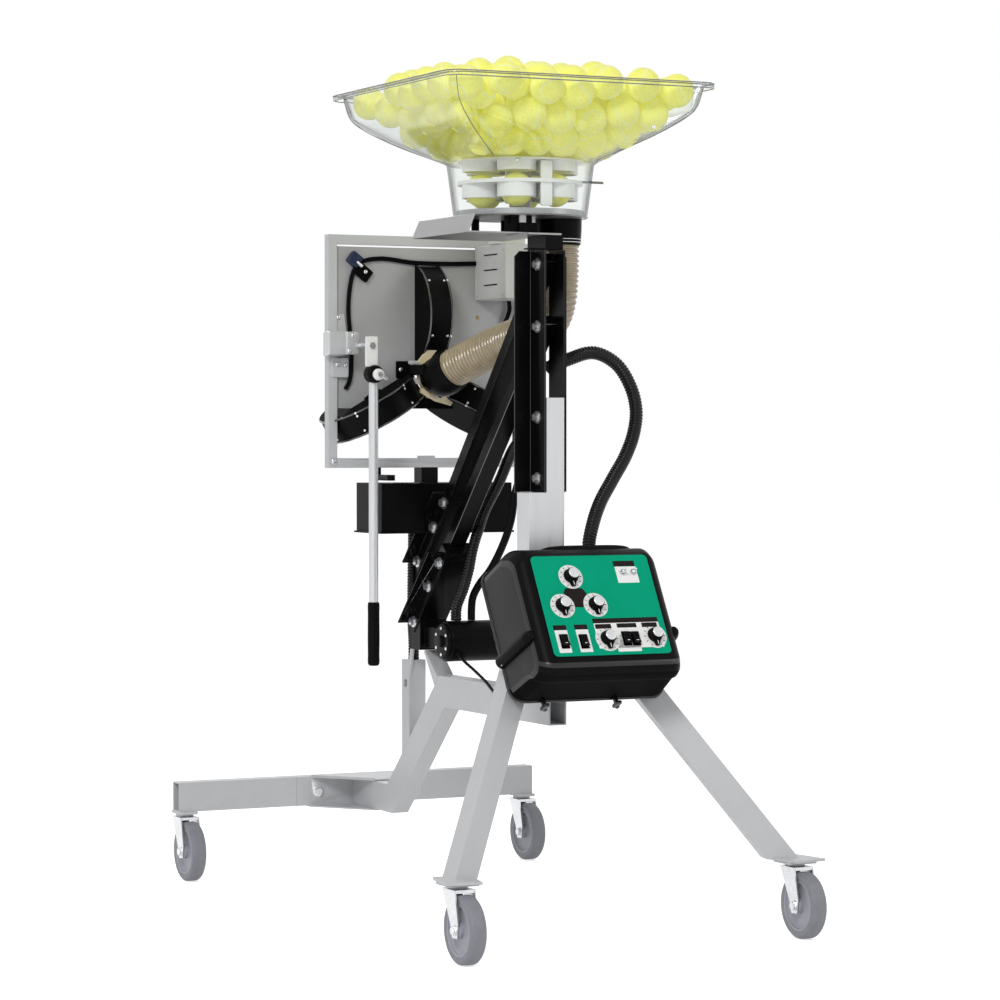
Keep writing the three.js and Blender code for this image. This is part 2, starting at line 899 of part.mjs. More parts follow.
function casterWheel(x, y) {
  const tread = CASTER.wheelHalf;
  const profile = [
    [WHEEL.bore, -WHEEL.hubHalf],
    [WHEEL.hubR, -WHEEL.hubHalf],
    [WHEEL.hubR, -WHEEL.webHalf],
    [WHEEL.webR, -WHEEL.webHalf],
    [WHEEL.webR, -tread],
    [WHEEL.shoulder, -tread],
    [CASTER.wheelR, WHEEL.chamfer - tread],
    [CASTER.wheelR, tread - WHEEL.chamfer],
    [WHEEL.shoulder, tread],
    [WHEEL.webR, tread],
    [WHEEL.webR, WHEEL.webHalf],
    [WHEEL.hubR, WHEEL.webHalf],
    [WHEEL.hubR, WHEEL.hubHalf],
    [WHEEL.bore, WHEEL.hubHalf],
    [WHEEL.bore, -WHEEL.hubHalf],
  ];
  return lathe(profile, [x, y - CASTER.trail, CASTER.wheelR], WHEEL_ROUND);
}

// Mast
function mastPost() {
  const post = block([-MAST.half, MAST.half], [MAST.rear, MAST.front], [SPINE.railTop + GAP, MAST.top]);
  const side = block(
    [MAST.sideEdge, BITE - MAST.half],
    [MAST.rear, MAST.front],
    [SPINE.railTop + GAP, MAST.sideTop],
  );
  const inner = MAST.half - SPINE.wall;
  const pocket = block(
    [-inner, inner],
    [MAST.rear + SPINE.wall, MAST.front - SPINE.wall],
    [MAST.top - MAST.pocket, MAST.top + BITE],
  );
  return join(cut(post, pocket), side, boxSeat());
}

// A plate out of the mast that the control box's top edge hangs from
function boxSeat() {
  const low = SHELL.high + GAP;
  const outline = [
    [-BOX_SEAT.half, low],
    [BOX_SEAT.half, low],
    [BOX_SEAT.half, low + BOX_SEAT.thick],
    [-BOX_SEAT.half, low + BOX_SEAT.thick],
  ];
  return prism(outline, BOX_SEAT.fromN, BOX_SEAT.toN, ON_PANEL);
}

function mastAngleRight() {
  const inner = MAST.half + GAP;
  const outer = inner + ANGLE.web;
  const ell = [
    [inner, ANGLE.rear],
    [outer, ANGLE.rear],
    [outer, ANGLE.flangeRear],
    [ANGLE.out, ANGLE.flangeRear],
    [ANGLE.out, ANGLE.flangeFront],
    [inner, ANGLE.flangeFront],
  ];
  const body = prism(ell, ANGLE.foot, ANGLE.top, UP_Z);
  const corner = [
    [ANGLE.out - ANGLE.corner, ANGLE.top + GAP],
    [ANGLE.out + GAP, ANGLE.top - ANGLE.corner],
    [ANGLE.out + GAP, ANGLE.top + GAP],
  ];
  const bolts = ANGLE.bolts.map((z) => bolt([outer, ANGLE.boltY, z], [1, 0, 0]));
  return join(cut(body, prism(corner, -REACH, REACH, TOWARDS_REAR)), ...bolts);
}

function armOutline({ headY, headZ, passY, passZ }, stopY, low, high) {
  const slope = (passZ - headZ) / (passY - headY);
  const run = Math.hypot(1, slope);
  const lift = (amount) => (y) => headZ + slope * (y - headY) + amount * run;
  const [under, over] = [lift(low), lift(high)];
  const tuck = (high - low) * (-slope / run);
  return [
    [headY, under(headY)],
    [stopY, under(stopY)],
    [stopY, over(stopY)],
    [headY + tuck, over(headY + tuck)],
  ];
}

function bracketPlates({ fromY, fromZ, toY, toZ }, inner, flange) {
  const length = Math.hypot(toY - fromY, toZ - fromZ);
  const across = [(fromZ - toZ) / length, (toY - fromY) / length];
  const strip = (low, high) => [
    [fromY + across[0] * low, fromZ + across[1] * low],
    [toY + across[0] * low, toZ + across[1] * low],
    [toY + across[0] * high, toZ + across[1] * high],
    [fromY + across[0] * high, fromZ + across[1] * high],
  ];
  const half = BRACKET.wide / 2;
  const outer = inner + BRACKET.web;
  const web = prism(strip(-half, half), inner, outer, ALONG_X);
  return flange ? web.add(
    prism(strip(half - BRACKET.web, half), inner, outer + BRACKET.flange, ALONG_X),
  ) : web;
}

// Angle bracket on the left, flat strap on the right, each with its bolts
function bracketPair(shape, inner, seat) {
  const outer = inner + BRACKET.web;
  const bolts = shape.boltY.map((y, i) => {
    const z = shape.boltZ[i];
    const start = y < UPRIGHT.rear ? seat : inner;
    return rod([start, y, z], [outer, y, z], BOLT.head).add(bolt([outer, y, z], [1, 0, 0]));
  });
  const [left, right] = [true, false].map((flange) =>
    join(bracketPlates(shape, inner, flange), ...bolts),
  );
  return [mirrored(left), right];
}

function upperArm() {
  const body = prism(armOutline(UPPER_ARM, ARM.stopY, 0, ARM.deep), -ARM.half, ARM.half, ALONG_X);
  return join(body, ...bracketPair(UPPER_BRACKET, ARM.half + BRACKET.gap, ARM.half - BITE));
}

function lowerArm() {
  return prism(armOutline(LOWER_ARM, ARM.stopY, 0, ARM.deep), -ARM.half, ARM.half, ALONG_X);
}

function frontMast() {
  const upright = block(
    [-UPRIGHT.half, UPRIGHT.half],
    [UPRIGHT.rear, UPRIGHT.front],
    [UPRIGHT.foot, UPRIGHT.top],
  );
  const wide = [-UPRIGHT.blockHalf, UPRIGHT.blockHalf];
  const foot = block(wide, [UPRIGHT.blockRear, UPRIGHT.front], [UPRIGHT.foot, UPRIGHT.shoulder]);
  const line = { ...LOWER_ARM, headY: SLEEVE.endY, headZ: lowerArmAt(SLEEVE.endY) };
  const sleeve = prism(
    armOutline(line, UPRIGHT.front, -SLEEVE.drop, SLEEVE.lift),
    -UPRIGHT.blockHalf,
    UPRIGHT.blockHalf,
    ALONG_X,
  );
  const slot = prism(
    armOutline(LOWER_ARM, UPRIGHT.rear, -GAP, ARM.deep * 2),
    -ARM.half - GAP,
    ARM.half + GAP,
    ALONG_X,
  );
  const brackets = bracketPair(LOWER_BRACKET, UPRIGHT.blockHalf - BITE, UPRIGHT.blockHalf - BITE);
  const floor = block([-REACH, REACH], [UPRIGHT.front, REACH], [UPRIGHT.foot - REACH, UPRIGHT.shoulder]);
  return join(cut(join(foot, sleeve), slot, floor), upright, ...brackets);
}

function lowerArmAt(y) {
  const slope = (LOWER_ARM.passZ - LOWER_ARM.headZ) / (LOWER_ARM.passY - LOWER_ARM.headY);
  return LOWER_ARM.headZ + slope * (y - LOWER_ARM.headY);
}

function powerUnit() {
  const at = (x, dy, dz) => [x, UNIT.y + dy, UNIT.z + dz];
  const drum = rod(at(UNIT.left + UNIT.capThick, 0, 0), at(UNIT.right, 0, 0), UNIT.radius, FINE_ROUND);
  const cap = rod(
    at(UNIT.left, 0, 0),
    at(UNIT.left + UNIT.capThick + BITE, 0, 0),
    UNIT.capR,
    FINE_ROUND,
  );
  const hub = rod(at(UNIT.left - UNIT.hubTall, 0, 0), at(UNIT.left + BITE, 0, 0), UNIT.hubR);
  const screws = [1, 3, 5, 7].map((eighth) => {
    const angle = (Math.PI / 4) * eighth;
    const [dy, dz] = [UNIT.screwRing * Math.cos(angle), UNIT.screwRing * Math.sin(angle)];
    return rod(
      at(UNIT.left - UNIT.screwTall, dy, dz),
      at(UNIT.left + BITE, dy, dz),
      UNIT.screwR,
      SMALL_ROUND,
    );
  });
  const arm = block(
    [-SPINE.half, SPINE.half],
    [UNIT.armRear, UNIT.armFront],
    [UNIT.armLow, UNIT.armHigh],
  );
  return join(drum, cap, hub, arm, ...screws);
}

function oscillationBox() {
  const box = SWING_BOX;
  const body = block([-box.half, box.half], [box.rear, box.front], [box.bottom, box.top]);
  const flange = block(
    [-box.half - box.flange, box.half + box.flange],
    [box.rear - box.flange, box.front + box.flange],
    [box.bottom, box.flangeTop],
  );
  const pocket = block(
    [box.pocketLeft, box.pocketRight],
    [box.pocketRear, box.pocketFront],
    [box.pocketFloor, box.top + BITE],
  );
  const well = rod([0, YAW.y, box.pocketFloor], [0, YAW.y, box.top + BITE], box.wellR, ROUND);
  const slot = block([-box.slotHalf, box.slotHalf], [-REACH, box.slotFront], [-REACH, box.slotTop]);
  const pin = rod([CRANK.x, CRANK.y, box.pocketFloor - BITE], [CRANK.x, CRANK.y, box.top], CRANK.radius);
  const fork = block(
    [CRANK.x - CRANK.wide, CRANK.x + CRANK.wide],
    [CRANK.y - CRANK.wide / 2, CRANK.y + CRANK.wide / 2],
    [box.top - CRANK.tall * 2, box.top - CRANK.tall],
  );
  return join(cut(join(body, flange), pocket, well, slot), pin, fork);
}

// Yawing frame
function headFrame() {
  const inner = FRAME.half - FRAME.tube;
  const y = [FRAME.rear, FRAME.front];
  const outside = block([-FRAME.half, FRAME.half], y, [FRAME.bottom, FRAME.top]);
  const window = block(
    [-inner, inner],
    [-REACH, REACH],
    [FRAME.bottom + FRAME.tube, FRAME.top - FRAME.tube],
  );
  const side = [-FRAME.postHalf, FRAME.postHalf];
  const post = block(
    side,
    [YAW.y - FRAME.postHalf, YAW.y + FRAME.postHalf],
    [FRAME.postFoot, FRAME.bottom + BITE],
  );
  const bumpTop = FRAME.bottom + FRAME.tube + FRAME_BUMP.tall;
  const bump = block(
    [-FRAME_BUMP.half, FRAME_BUMP.half],
    y,
    [bumpTop - FRAME_BUMP.tall - BITE, bumpTop],
  );
  return join(cut(outside, window), post, bump, dragLink());
}

function dragLink() {
  const bar = block(
    [LINK.x - LINK.half, LINK.x + LINK.half],
    [LINK.rear, LINK.front],
    [LINK.low, LINK.high],
  );
  const tab = block(
    [LINK.x - LINK.tabHalf, LINK.x + LINK.tabHalf],
    [LINK.front - LINK.tabHalf, LINK.front + LINK.tabHalf],
    [LINK.low, FRAME.bottom + BITE],
  );
  const eye = rod([LINK.x, LINK.rear, LINK.low], [LINK.x, LINK.rear, LINK.high], LINK.tabHalf);
  return join(bar, tab, eye);
}

function pitchBracketRight() {
  const plate = block(
    [HINGE.inner, HINGE.outer],
    [HINGE.rear, FRAME.rear - GAP],
    [HINGE.low, HINGE.high],
  );
  const pin = rod([HINGE.tip, PITCH.y, PITCH.z], [HINGE.inner + BITE, PITCH.y, PITCH.z], HINGE.pinR);
  const screw = bolt([(HINGE.inner + HINGE.outer) / 2, HINGE.rear, PITCH.z], [0, -1, 0]);
  return join(plate, pin, screw);
}

// Pitching head
function turned(solid, degrees) {
  return solid.translate([0, 0, -THROW.z]).rotate([0, 90 - degrees, 0]).translate([0, 0, THROW.z]);
}

function headPlate() {
  const sheet = block([-PLATE.half, PLATE.half], [PLATE.rear, PLATE.front], [PLATE.bottom, PLATE.top]);
  const slots = THROW.turns.map((degrees) => {
    const range = [THROW.z + PLATE.slotIn, THROW.z + PLATE.slotOut];
    return turned(block([-PLATE.slotHalf, PLATE.slotHalf], [-REACH, REACH], range), degrees);
  });
  const hole = rod([0, -REACH, THROW.z], [0, REACH, THROW.z], THROAT.holeR, ROUND);
  const lugs = [pitchLug(), mirrored(pitchLug())];
  return join(cut(sheet, ...slots, hole), ...lugs, feedRing());
}

function pitchLug() {
  const z = [PITCH.z - HINGE.lugHalf, PITCH.z + HINGE.lugHalf];
  const lug = block([HINGE.lugInner, HINGE.lugOuter], [HINGE.lugRear, PLATE.rear + BITE], z);
  const bore = rod([0, PITCH.y, PITCH.z], [REACH, PITCH.y, PITCH.z], HINGE.pinR + HINGE.play, ROUND);
  return lug.subtract(bore);
}

function feedRing() {
  const ring = rod([0, THROAT.rear, THROW.z], [0, THROAT.ringFront, THROW.z], THROAT.ringR, FINE_ROUND);
  const cream = rod(
    [0, THROAT.rear + BITE, THROW.z],
    [0, THROAT.creamFront, THROW.z],
    THROAT.creamR,
    FINE_ROUND,
  );
  const bore = rod([0, -REACH, THROW.z], [0, REACH, THROW.z], THROAT.bore, FINE_ROUND);
  const struts = STRUTS.turns.map((degrees) => {
    const angle = THREE.MathUtils.degToRad(degrees);
    const [x, z] = [STRUTS.ring * Math.cos(angle), THROW.z + STRUTS.ring * Math.sin(angle)];
    return rod([x, STRUTS.rear, z], [x, PLATE.rear + BITE, z], STRUTS.radius, SMALL_ROUND);
  });
  return join(ring, cream, ...struts).subtract(bore);
}

// A wheel housing standing over the throw line, drawn at the top place and turned to its own
function wheelHousing(degrees) {
  const z = THROW.z + THROW.ring;
  const disc = rod([-HOUSING.half, THROW.y, z], [HOUSING.half, THROW.y, z], HOUSING.radius, FINE_ROUND);
  const cavity = rod(
    [-HOUSING.cavityHalf, THROW.y, z],
    [HOUSING.cavityHalf, THROW.y, z],
    HOUSING.cavityR,
    FINE_ROUND,
  );
  const throat = rod([0, -REACH, THROW.z], [0, REACH, THROW.z], HOUSING.throatR, FINE_ROUND);
  const side = degrees === THROW.turns[2] ? -1 : 1;
  const outer = side * (HOUSING.half + MOTOR.tall);
  const motor = rod(
    [side * (HOUSING.half - BITE), THROW.y, z],
    [outer, THROW.y, z],
    MOTOR.radius,
    ROUND,
  );
  const cap = rod(
    [outer - side * BITE, THROW.y, z],
    [outer + side * MOTOR.capTall, THROW.y, z],
    MOTOR.capR,
    ROUND,
  );
  const shaft = rod([0, THROW.y, z], [side * (HOUSING.half - BITE), THROW.y, z], THROWER.shaftR, ROUND);
  const whole = turned(join(cut(disc, cavity, throat), motor, cap, shaft), degrees);
  const notches = [-1, 1].map((sign) => {
    const x = sign > 0 ? [HOUSING.notchX, REACH] : [-REACH, -HOUSING.notchX];
    return block(x, [-REACH, HOUSING.notchY], [-REACH, REACH]);
  });
  return degrees === THROW.turns[0] ? whole : cut(whole, ...notches);
}

function throwingWheel(degrees) {
  const z = THROW.z + THROW.ring;
  const [half, rim, radius] = [THROWER.half, THROWER.rim, THROWER.radius];
  const bore = THROWER.shaftR + THROWER.shaftPlay;
  const profile = [
    [bore, -half],
    [THROWER.hub, -half],
    [THROWER.hub, THROWER.dish - half],
    [rim, THROWER.dish - half],
    [rim, -half],
    [radius, -half],
    [radius, half],
    [rim, half],
    [rim, half - THROWER.dish],
    [THROWER.hub, half - THROWER.dish],
    [THROWER.hub, half],
    [bore, half],
    [bore, -half],
  ];
  return turned(lathe(profile, [0, THROW.y, z], WHEEL_ROUND), degrees);
}

function louvreBox() {
  const body = block(
    [LOUVRE.left, LOUVRE.right],
    [LOUVRE.rear, LOUVRE.front],
    [LOUVRE.low, LOUVRE.high],
  );
  const slits = LOUVRE.vents.map((z) => {
    const x = [LOUVRE.left - BITE, LOUVRE.left + LOUVRE.slitDeep];
    return block(x, [LOUVRE.slitRear, LOUVRE.slitFront], [z, z + LOUVRE.slit]);
  });
  const terminals = block(
    LOUVRE.block,
    [LOUVRE.rear, LOUVRE.blockFront],
    [LOUVRE.high - BITE, LOUVRE.blockTop],
  );
  return cut(body, ...slits).add(terminals);
}

function aimLever() {
  const at = (z) => [LEVER.x, LEVER.y, z];
  const stem = rod(at(LEVER.neck - BITE), at(LEVER.top), LEVER.radius, ROUND);
  const grip = rod(at(LEVER.bottom), at(LEVER.neck), LEVER.gripR, ROUND);
  const eyeZ = THROW.z - LEVER.discDrop;
  const eyeY = [LEVER.y - LEVER.discHalf, LEVER.y + LEVER.discHalf];
  const eye = rod([LEVER.x, eyeY[0], eyeZ], [LEVER.x, eyeY[1], eyeZ], LEVER.discR, ROUND);
  const x = [LEVER.x - LINKBAR.half, LEVER.x + LINKBAR.half];
  const bar = block(x, [LEVER.y - LINKBAR.thick, LEVER.y + LINKBAR.thick], [LINKBAR.low, LINKBAR.high]);
  const foot = block(x, [LEVER.y, LINKBAR.footFront], [LINKBAR.footLow, LINKBAR.high]);
  return join(stem, grip, eye, bar, foot);
}

// Feed
// A flat floor with its left edge folded up and leaning inwards
function feederTray() {
  const w = TRAY.wall;
  const outline = [
    [TRAY.left, TRAY.floor],
    [TRAY.right, TRAY.floor],
    [TRAY.right, TRAY.floor + w],
    [TRAY.left + w * 2, TRAY.floor + w],
    [TRAY.lipLeft + w, TRAY.top],
    [TRAY.lipLeft, TRAY.top],
  ];
  return prism(outline, -TRAY.front, -TRAY.rear, TOWARDS_REAR);
}

function trayBracket() {
  const b = TRAY_BRACKET;
  const top = block([-b.half, b.half], [b.rear, b.front], [b.high - b.plate, b.high]);
  const foot = block([-b.half, b.half], [b.rear, ANGLE.flangeFront], [b.low, b.low + b.plate]);
  const ribs = [-b.half, b.half - b.plate].map((x) =>
    block([x, x + b.plate], [b.rear, b.front - b.gap], [b.low, b.high]),
  );
  return join(top, foot, ...ribs);
}

function feedFloor() {
  const centre = [0, HOPPER.y];
  const disc = rod([...centre, FEED.floorLow], [...centre, FEED.floorHigh], FEED.floorR, FINE_ROUND);
  const spout = rod(
    [FEED.x, FEED.y, FEED.spoutFoot],
    [FEED.x, FEED.y, FEED.floorLow + BITE],
    FEED.spoutR,
    ROUND,
  );
  const bore = rod([FEED.x, FEED.y, 0], [FEED.x, FEED.y, REACH], FEED.bore, ROUND);
  const hub = rod(
    [...centre, FEED.floorHigh - BITE],
    [...centre, CAROUSEL.foot - GAP],
    CAROUSEL.hubR,
    ROUND,
  );
  const z = [TRAY.floor + TRAY.wall + GAP, FEED.floorLow + BITE];
  const pegs = FLOOR_FOOT.pegs.map(([x, y]) => rod([x, y, z[0]], [x, y, z[1]], FLOOR_FOOT.pegR));
  return join(cut(join(disc, spout), bore), hub, block(FLOOR_FOOT.x, FLOOR_FOOT.y, z), ...pegs);
}

// One level of the hopper: square far from the neck, round at it, and in between by share
function hopperRing(halfX, halfY, z, squareShare) {
  const ring = [];
  for (let i = 0; i < HOPPER.sides; i++) {
    const angle = (2 * Math.PI * (i + 1 / 2)) / HOPPER.sides;
    const [c, s] = [Math.cos(angle), Math.sin(angle)];
    const toSquare = Math.min(
      1 / Math.max(Math.abs(c), Math.abs(s)),
      HOPPER.corner + squareShare * BITE,
    );
    const stretch = 1 + squareShare * (toSquare - 1);
    ring.push(new THREE.Vector3(halfX * c * stretch, HOPPER.y + halfY * s * stretch, z));
  }
  return ring;
}

function hopperBin() {
  const t = HOPPER.skin;
  const square = (half, z) => hopperRing(half, half, z, 1);
  const round = (radius, z) => hopperRing(radius, radius, z, 0);
  const rings = [
    round(HOPPER.footR, HOPPER.foot),
    round(HOPPER.neckR, HOPPER.neckTop),
    square(HOPPER.wallLow, HOPPER.wallFoot),
    square(HOPPER.wallTop, HOPPER.top - HOPPER.flangeThick),
    hopperRing(HOPPER.rim, HOPPER.rimDepth, HOPPER.top - HOPPER.flangeThick, 1),
    hopperRing(HOPPER.rim, HOPPER.rimDepth, HOPPER.top, 1),
    square(HOPPER.wallTop - t, HOPPER.top),
    square(HOPPER.wallLow - t, HOPPER.wallFoot + t / 2),
    round(HOPPER.neckR - t, HOPPER.neckTop + t / 2),
    round(HOPPER.footR - t, HOPPER.foot),
  ];
  return skin(rings, true);
}

function carousel() {
  const c = CAROUSEL;
  const centre = [0, HOPPER.y];
  const discs = [c.lowDisc, c.highDisc].map((z) =>
    rod([...centre, z], [...centre, z + c.disc], c.radius, FINE_ROUND),
  );
  const places = Array.from({ length: c.cups }, (_, i) => {
    const angle = (2 * Math.PI * i) / c.cups + Math.atan2(FEED.y - HOPPER.y, FEED.x);
    return [c.pitchR * Math.cos(angle), HOPPER.y + c.pitchR * Math.sin(angle)];
  });
  const cups = places.map((at) => rod([...at, c.foot], [...at, c.highDisc + BITE], c.cupR, CUP_ROUND));
  const holes = places.map((at) => rod([...at, 0], [...at, REACH], c.hole, CUP_ROUND));
  const hub = rod([...centre, c.foot], [...centre, c.hubTop], c.hubR, ROUND);
  return cut(join(discs[0], discs[1], ...cups), ...holes).add(hub);
}

// Control box
function controlShell() {
  const s = SHELL;
  const side = [
    [s.back, s.backLow],
    [s.chinN, s.low],
    [s.front - s.corner, s.frontLow - s.corner],
    [s.front, s.frontLow],
    [s.front, s.faceTop],
    [s.browN, s.browV],
    [s.shoulderN, s.shoulderV],
    [s.back, s.high],
  ];
  const body = prism(side, -s.half, s.half, SIDEWAYS);
  const front = prism(
    rounded(s.half, s.low, s.high, s.corner, s.cornerSteps),
    s.back,
    s.front,
    ON_PANEL,
  );
  return join(body.intersect(front), sideRib(), mirrored(sideRib()));
}

function sideRib() {
  const r = RIB;
  const outline = [
    [r.fromN, r.fromV],
    [r.toN, r.fromV],
    [r.toN, r.toV],
    [r.fromN, r.toV],
  ];
  return prism(outline, -SHELL.half - r.proud, BITE - SHELL.half, SIDEWAYS);
}

function controlPanel() {
  const outline = rounded(PANEL.half, PANEL.low, PANEL.high, PANEL.corner, SHELL.cornerSteps);
  const low = SHELL.front + GAP;
  const plate = prism(outline, low, low + PANEL.thick, ON_PANEL);
  const collars = TOGGLE.at.map(([x, v]) => {
    const at = (n) => panelPoint(x, v, low + PANEL.thick + n);
    const ring = rod(at(-BITE), at(TOGGLE.collarTall), TOGGLE.collarR, ROUND);
    return ring.subtract(rod(at(0), at(TOGGLE.collarTall + BITE), TOGGLE.collarBore, ROUND));
  });
  return join(plate, ...collars);
}

const PANEL_FACE = SHELL.front + GAP + PANEL.thick + GAP;

function knob([x, v]) {
  const at = (n) => panelPoint(x, v, PANEL_FACE + n);
  const body = rod(at(0), at(KNOB.bodyTall), KNOB.bodyR, ROUND);
  const cap = rod(at(KNOB.bodyTall - BITE), at(KNOB.bodyTall + KNOB.capTall), KNOB.capR, ROUND);
  const pointer = prism(
    [
      [x - KNOB.pointer, v],
      [x + KNOB.pointer, v],
      [x + KNOB.pointer, v + KNOB.bodyR + KNOB.pointer],
      [x - KNOB.pointer, v + KNOB.bodyR + KNOB.pointer],
    ],
    PANEL_FACE,
    PANEL_FACE + KNOB.bodyTall,
    ON_PANEL,
  );
  return join(body, cap, pointer);
}

function rocker([x, v]) {
  const under = PANEL_FACE + ROCKER.under;
  const side = [
    [PANEL_FACE, v - ROCKER.stemHalf],
    [under, v - ROCKER.stemHalf],
    [under, v - ROCKER.tall],
    [PANEL_FACE + ROCKER.tip, v - ROCKER.tall],
    [PANEL_FACE + ROCKER.thick, v],
    [PANEL_FACE + ROCKER.thick, v + ROCKER.tall],
    [under, v + ROCKER.tall],
    [under, v + ROCKER.stemHalf],
    [PANEL_FACE, v + ROCKER.stemHalf],
  ];
  return prism(side, -x - ROCKER.half, ROCKER.half - x, SIDEWAYS);
}

function toggle([x, v]) {
  const at = (n) => panelPoint(x, v, PANEL_FACE + n);
  const ball = new THREE.SphereGeometry(TOGGLE.ballR, SMALL_ROUND, SMALL_ROUND);
  ball.translate(...at(TOGGLE.ballN));
  return solidOf(ball).add(rod(at(TOGGLE.ballN), at(TOGGLE.stemTall), TOGGLE.stemR, SMALL_ROUND));
}

// Assembly
const LOOKS = {
  grey_paint: { color: 0xb4b6b8, roughness: 0.5, metalness: 0.2 },
  silver_tube: { color: 0xd6d8da, roughness: 0.35, metalness: 0.7 },
  black_paint: { color: 0x17181a, roughness: 0.4, metalness: 0.2 },
  black_moulded: { color: 0x1c1c1e, roughness: 0.55, metalness: 0 },
  black_rubber: { color: 0x141414, roughness: 0.8, metalness: 0 },
  caster_tread: { color: 0x84868e, roughness: 0.7, metalness: 0 },
  zinc: { color: 0xc9cccf, roughness: 0.3, metalness: 0.9 },
  clear_plastic: { color: 0xd8dcd8, roughness: 0.1, metalness: 0 },
  white_plastic: { color: 0xf0f0ec, roughness: 0.5, metalness: 0 },
  hose_tan: { color: 0x9c8e70, roughness: 0.5, metalness: 0 },
  panel_green: { color: 0x0f9c76, roughness: 0.45, metalness: 0 },
};

const object = new THREE.Group();
object.name = "ball_throwing_machine";

function part(name, look, solid) {
  const mesh = solid.getMesh();
  const geometry = new THREE.BufferGeometry();
  const positions = [];
  for (let i = 0; i < mesh.vertProperties.length; i += mesh.numProp) {
    positions.push(...mesh.vertProperties.slice(i, i + 3));
  }
  geometry.setAttribute("position", new THREE.Float32BufferAttribute(positions, 3));
  geometry.setIndex([...mesh.triVerts]);
  const flat = geometry.toNonIndexed();
  flat.computeVertexNormals();
  const made = new THREE.Mesh(flat, new THREE.MeshStandardMaterial(LOOKS[look]));
  made.name = name;
  object.add(made);
}

part("front_receiver", "grey_paint", frontReceiver());
part("front_beam_right", "grey_paint", frontBeam());
part("front_beam_left", "grey_paint", mirrored(frontBeam()));
part("base_spine", "grey_paint", baseSpine());
part("front_support", "grey_paint", frontSupport());
part("rear_leg_right", "grey_paint", rearLegRight());
part("rear_leg_left", "grey_paint", rearLegLeft());

const SWIVELS = {
  rear_left: [-CASTER.rearX, CASTER.rearY],
  rear_right: [CASTER.rearX, CASTER.rearY],
  front_left: [-CASTER.frontX, CASTER.frontY],
  front_right: [CASTER.frontX, CASTER.frontY],
};
for (const [place, at] of Object.entries(SWIVELS)) {
  part("caster_fork_" + place, "zinc", casterFork(...at));
  part("caster_wheel_" + place, "caster_tread", casterWheel(...at));
}

part("mast_post", "silver_tube", mastPost());
part("mast_angle_right", "black_paint", mastAngleRight());
part("mast_angle_left", "black_paint", mirrored(mastAngleRight()));
part("upper_arm", "black_paint", upperArm());
part("lower_arm", "black_paint", lowerArm());
part("front_mast", "black_paint", frontMast());
part("power_unit", "black_moulded", powerUnit());
part("oscillation_box", "black_moulded", oscillationBox());

part("head_frame", "grey_paint", headFrame());
part("pitch_bracket_right", "zinc", pitchBracketRight());
part("pitch_bracket_left", "zinc", mirrored(pitchBracketRight()));
part("head_plate", "grey_paint", headPlate());
THROW.turns.forEach((degrees, i) => {
  part("wheel_housing_" + (i + 1), "black_moulded", wheelHousing(degrees));
  part("throwing_wheel_" + (i + 1), "black_rubber", throwingWheel(degrees));
});
part("louvre_box", "grey_paint", louvreBox());
part("aim_lever", "silver_tube", aimLever());

part("tray_bracket", "black_paint", trayBracket());
part("feeder_tray", "grey_paint", feederTray());
part("feed_floor", "black_moulded", feedFloor());
part("hopper_bin", "clear_plastic", hopperBin());
part("carousel", "white_plastic", carousel());
part("feed_hose_upper", "hose_tan", hoseRun(0, HOSE.upperRibs, 0));
part("feed_hose_lower", "hose_tan", hoseRun(HOSE.upperRibs, HOSE.ribs, GAP));

part("control_shell", "black_moulded", controlShell());
part("control_panel", "panel_green", controlPanel());
KNOB.at.forEach((at, i) => part("knob_" + (i + 1), "black_moulded", knob(at)));
ROCKER.at.forEach((at, i) => part("rocker_" + (i + 1), "black_moulded", rocker(at)));
TOGGLE.at.forEach((at, i) => part("toggle_" + (i + 1), "zinc", toggle(at)));
for (const [name, route] of Object.entries(CORDS)) {
  part(name, "black_rubber", cord(route));
}

// The origin sits on the floor under the middle of the whole machine.
const rearmost = CASTER.rearY - CASTER.trail - CASTER.wheelR;
const foremost = CASTER.frontY - CASTER.trail + CASTER.wheelR;
object.position.y = -(rearmost + foremost) / 2;

export default object;
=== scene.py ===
"""A wheeled ball-throwing machine: a steel base on four casters, a braced mast, a yawing frame with
three throwing wheels, a clear hopper full of balls, a ribbed feed hose and a tilted control box.

Sizes are in millimetres in the machine's own measured frame, and place() turns them into the
row frame in metres. Every new surface is a function of two parameters worked out with numpy."""

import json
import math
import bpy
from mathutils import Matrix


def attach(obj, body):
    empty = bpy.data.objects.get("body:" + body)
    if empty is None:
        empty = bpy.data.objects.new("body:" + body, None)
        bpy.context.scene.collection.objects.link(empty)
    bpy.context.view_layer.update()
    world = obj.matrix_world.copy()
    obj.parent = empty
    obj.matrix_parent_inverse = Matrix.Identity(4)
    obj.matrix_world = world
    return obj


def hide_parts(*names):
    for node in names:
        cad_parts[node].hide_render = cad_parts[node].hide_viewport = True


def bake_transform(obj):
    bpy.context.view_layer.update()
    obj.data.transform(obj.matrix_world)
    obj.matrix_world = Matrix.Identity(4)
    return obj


bl_info = {
    "name": "Ball-throwing machine",
    "version": (1, 0, 0),
    "blender": (4, 5, 0),
    "location": "View3D > Sidebar > Machine",
    "description": "Dresses the solids of a ball-throwing machine in finished surfaces",
    "category": "Object",
}

import bmesh
import bpy
import numpy as np
from bpy.props import FloatProperty, FloatVectorProperty, IntProperty, PointerProperty
from mathutils import Vector

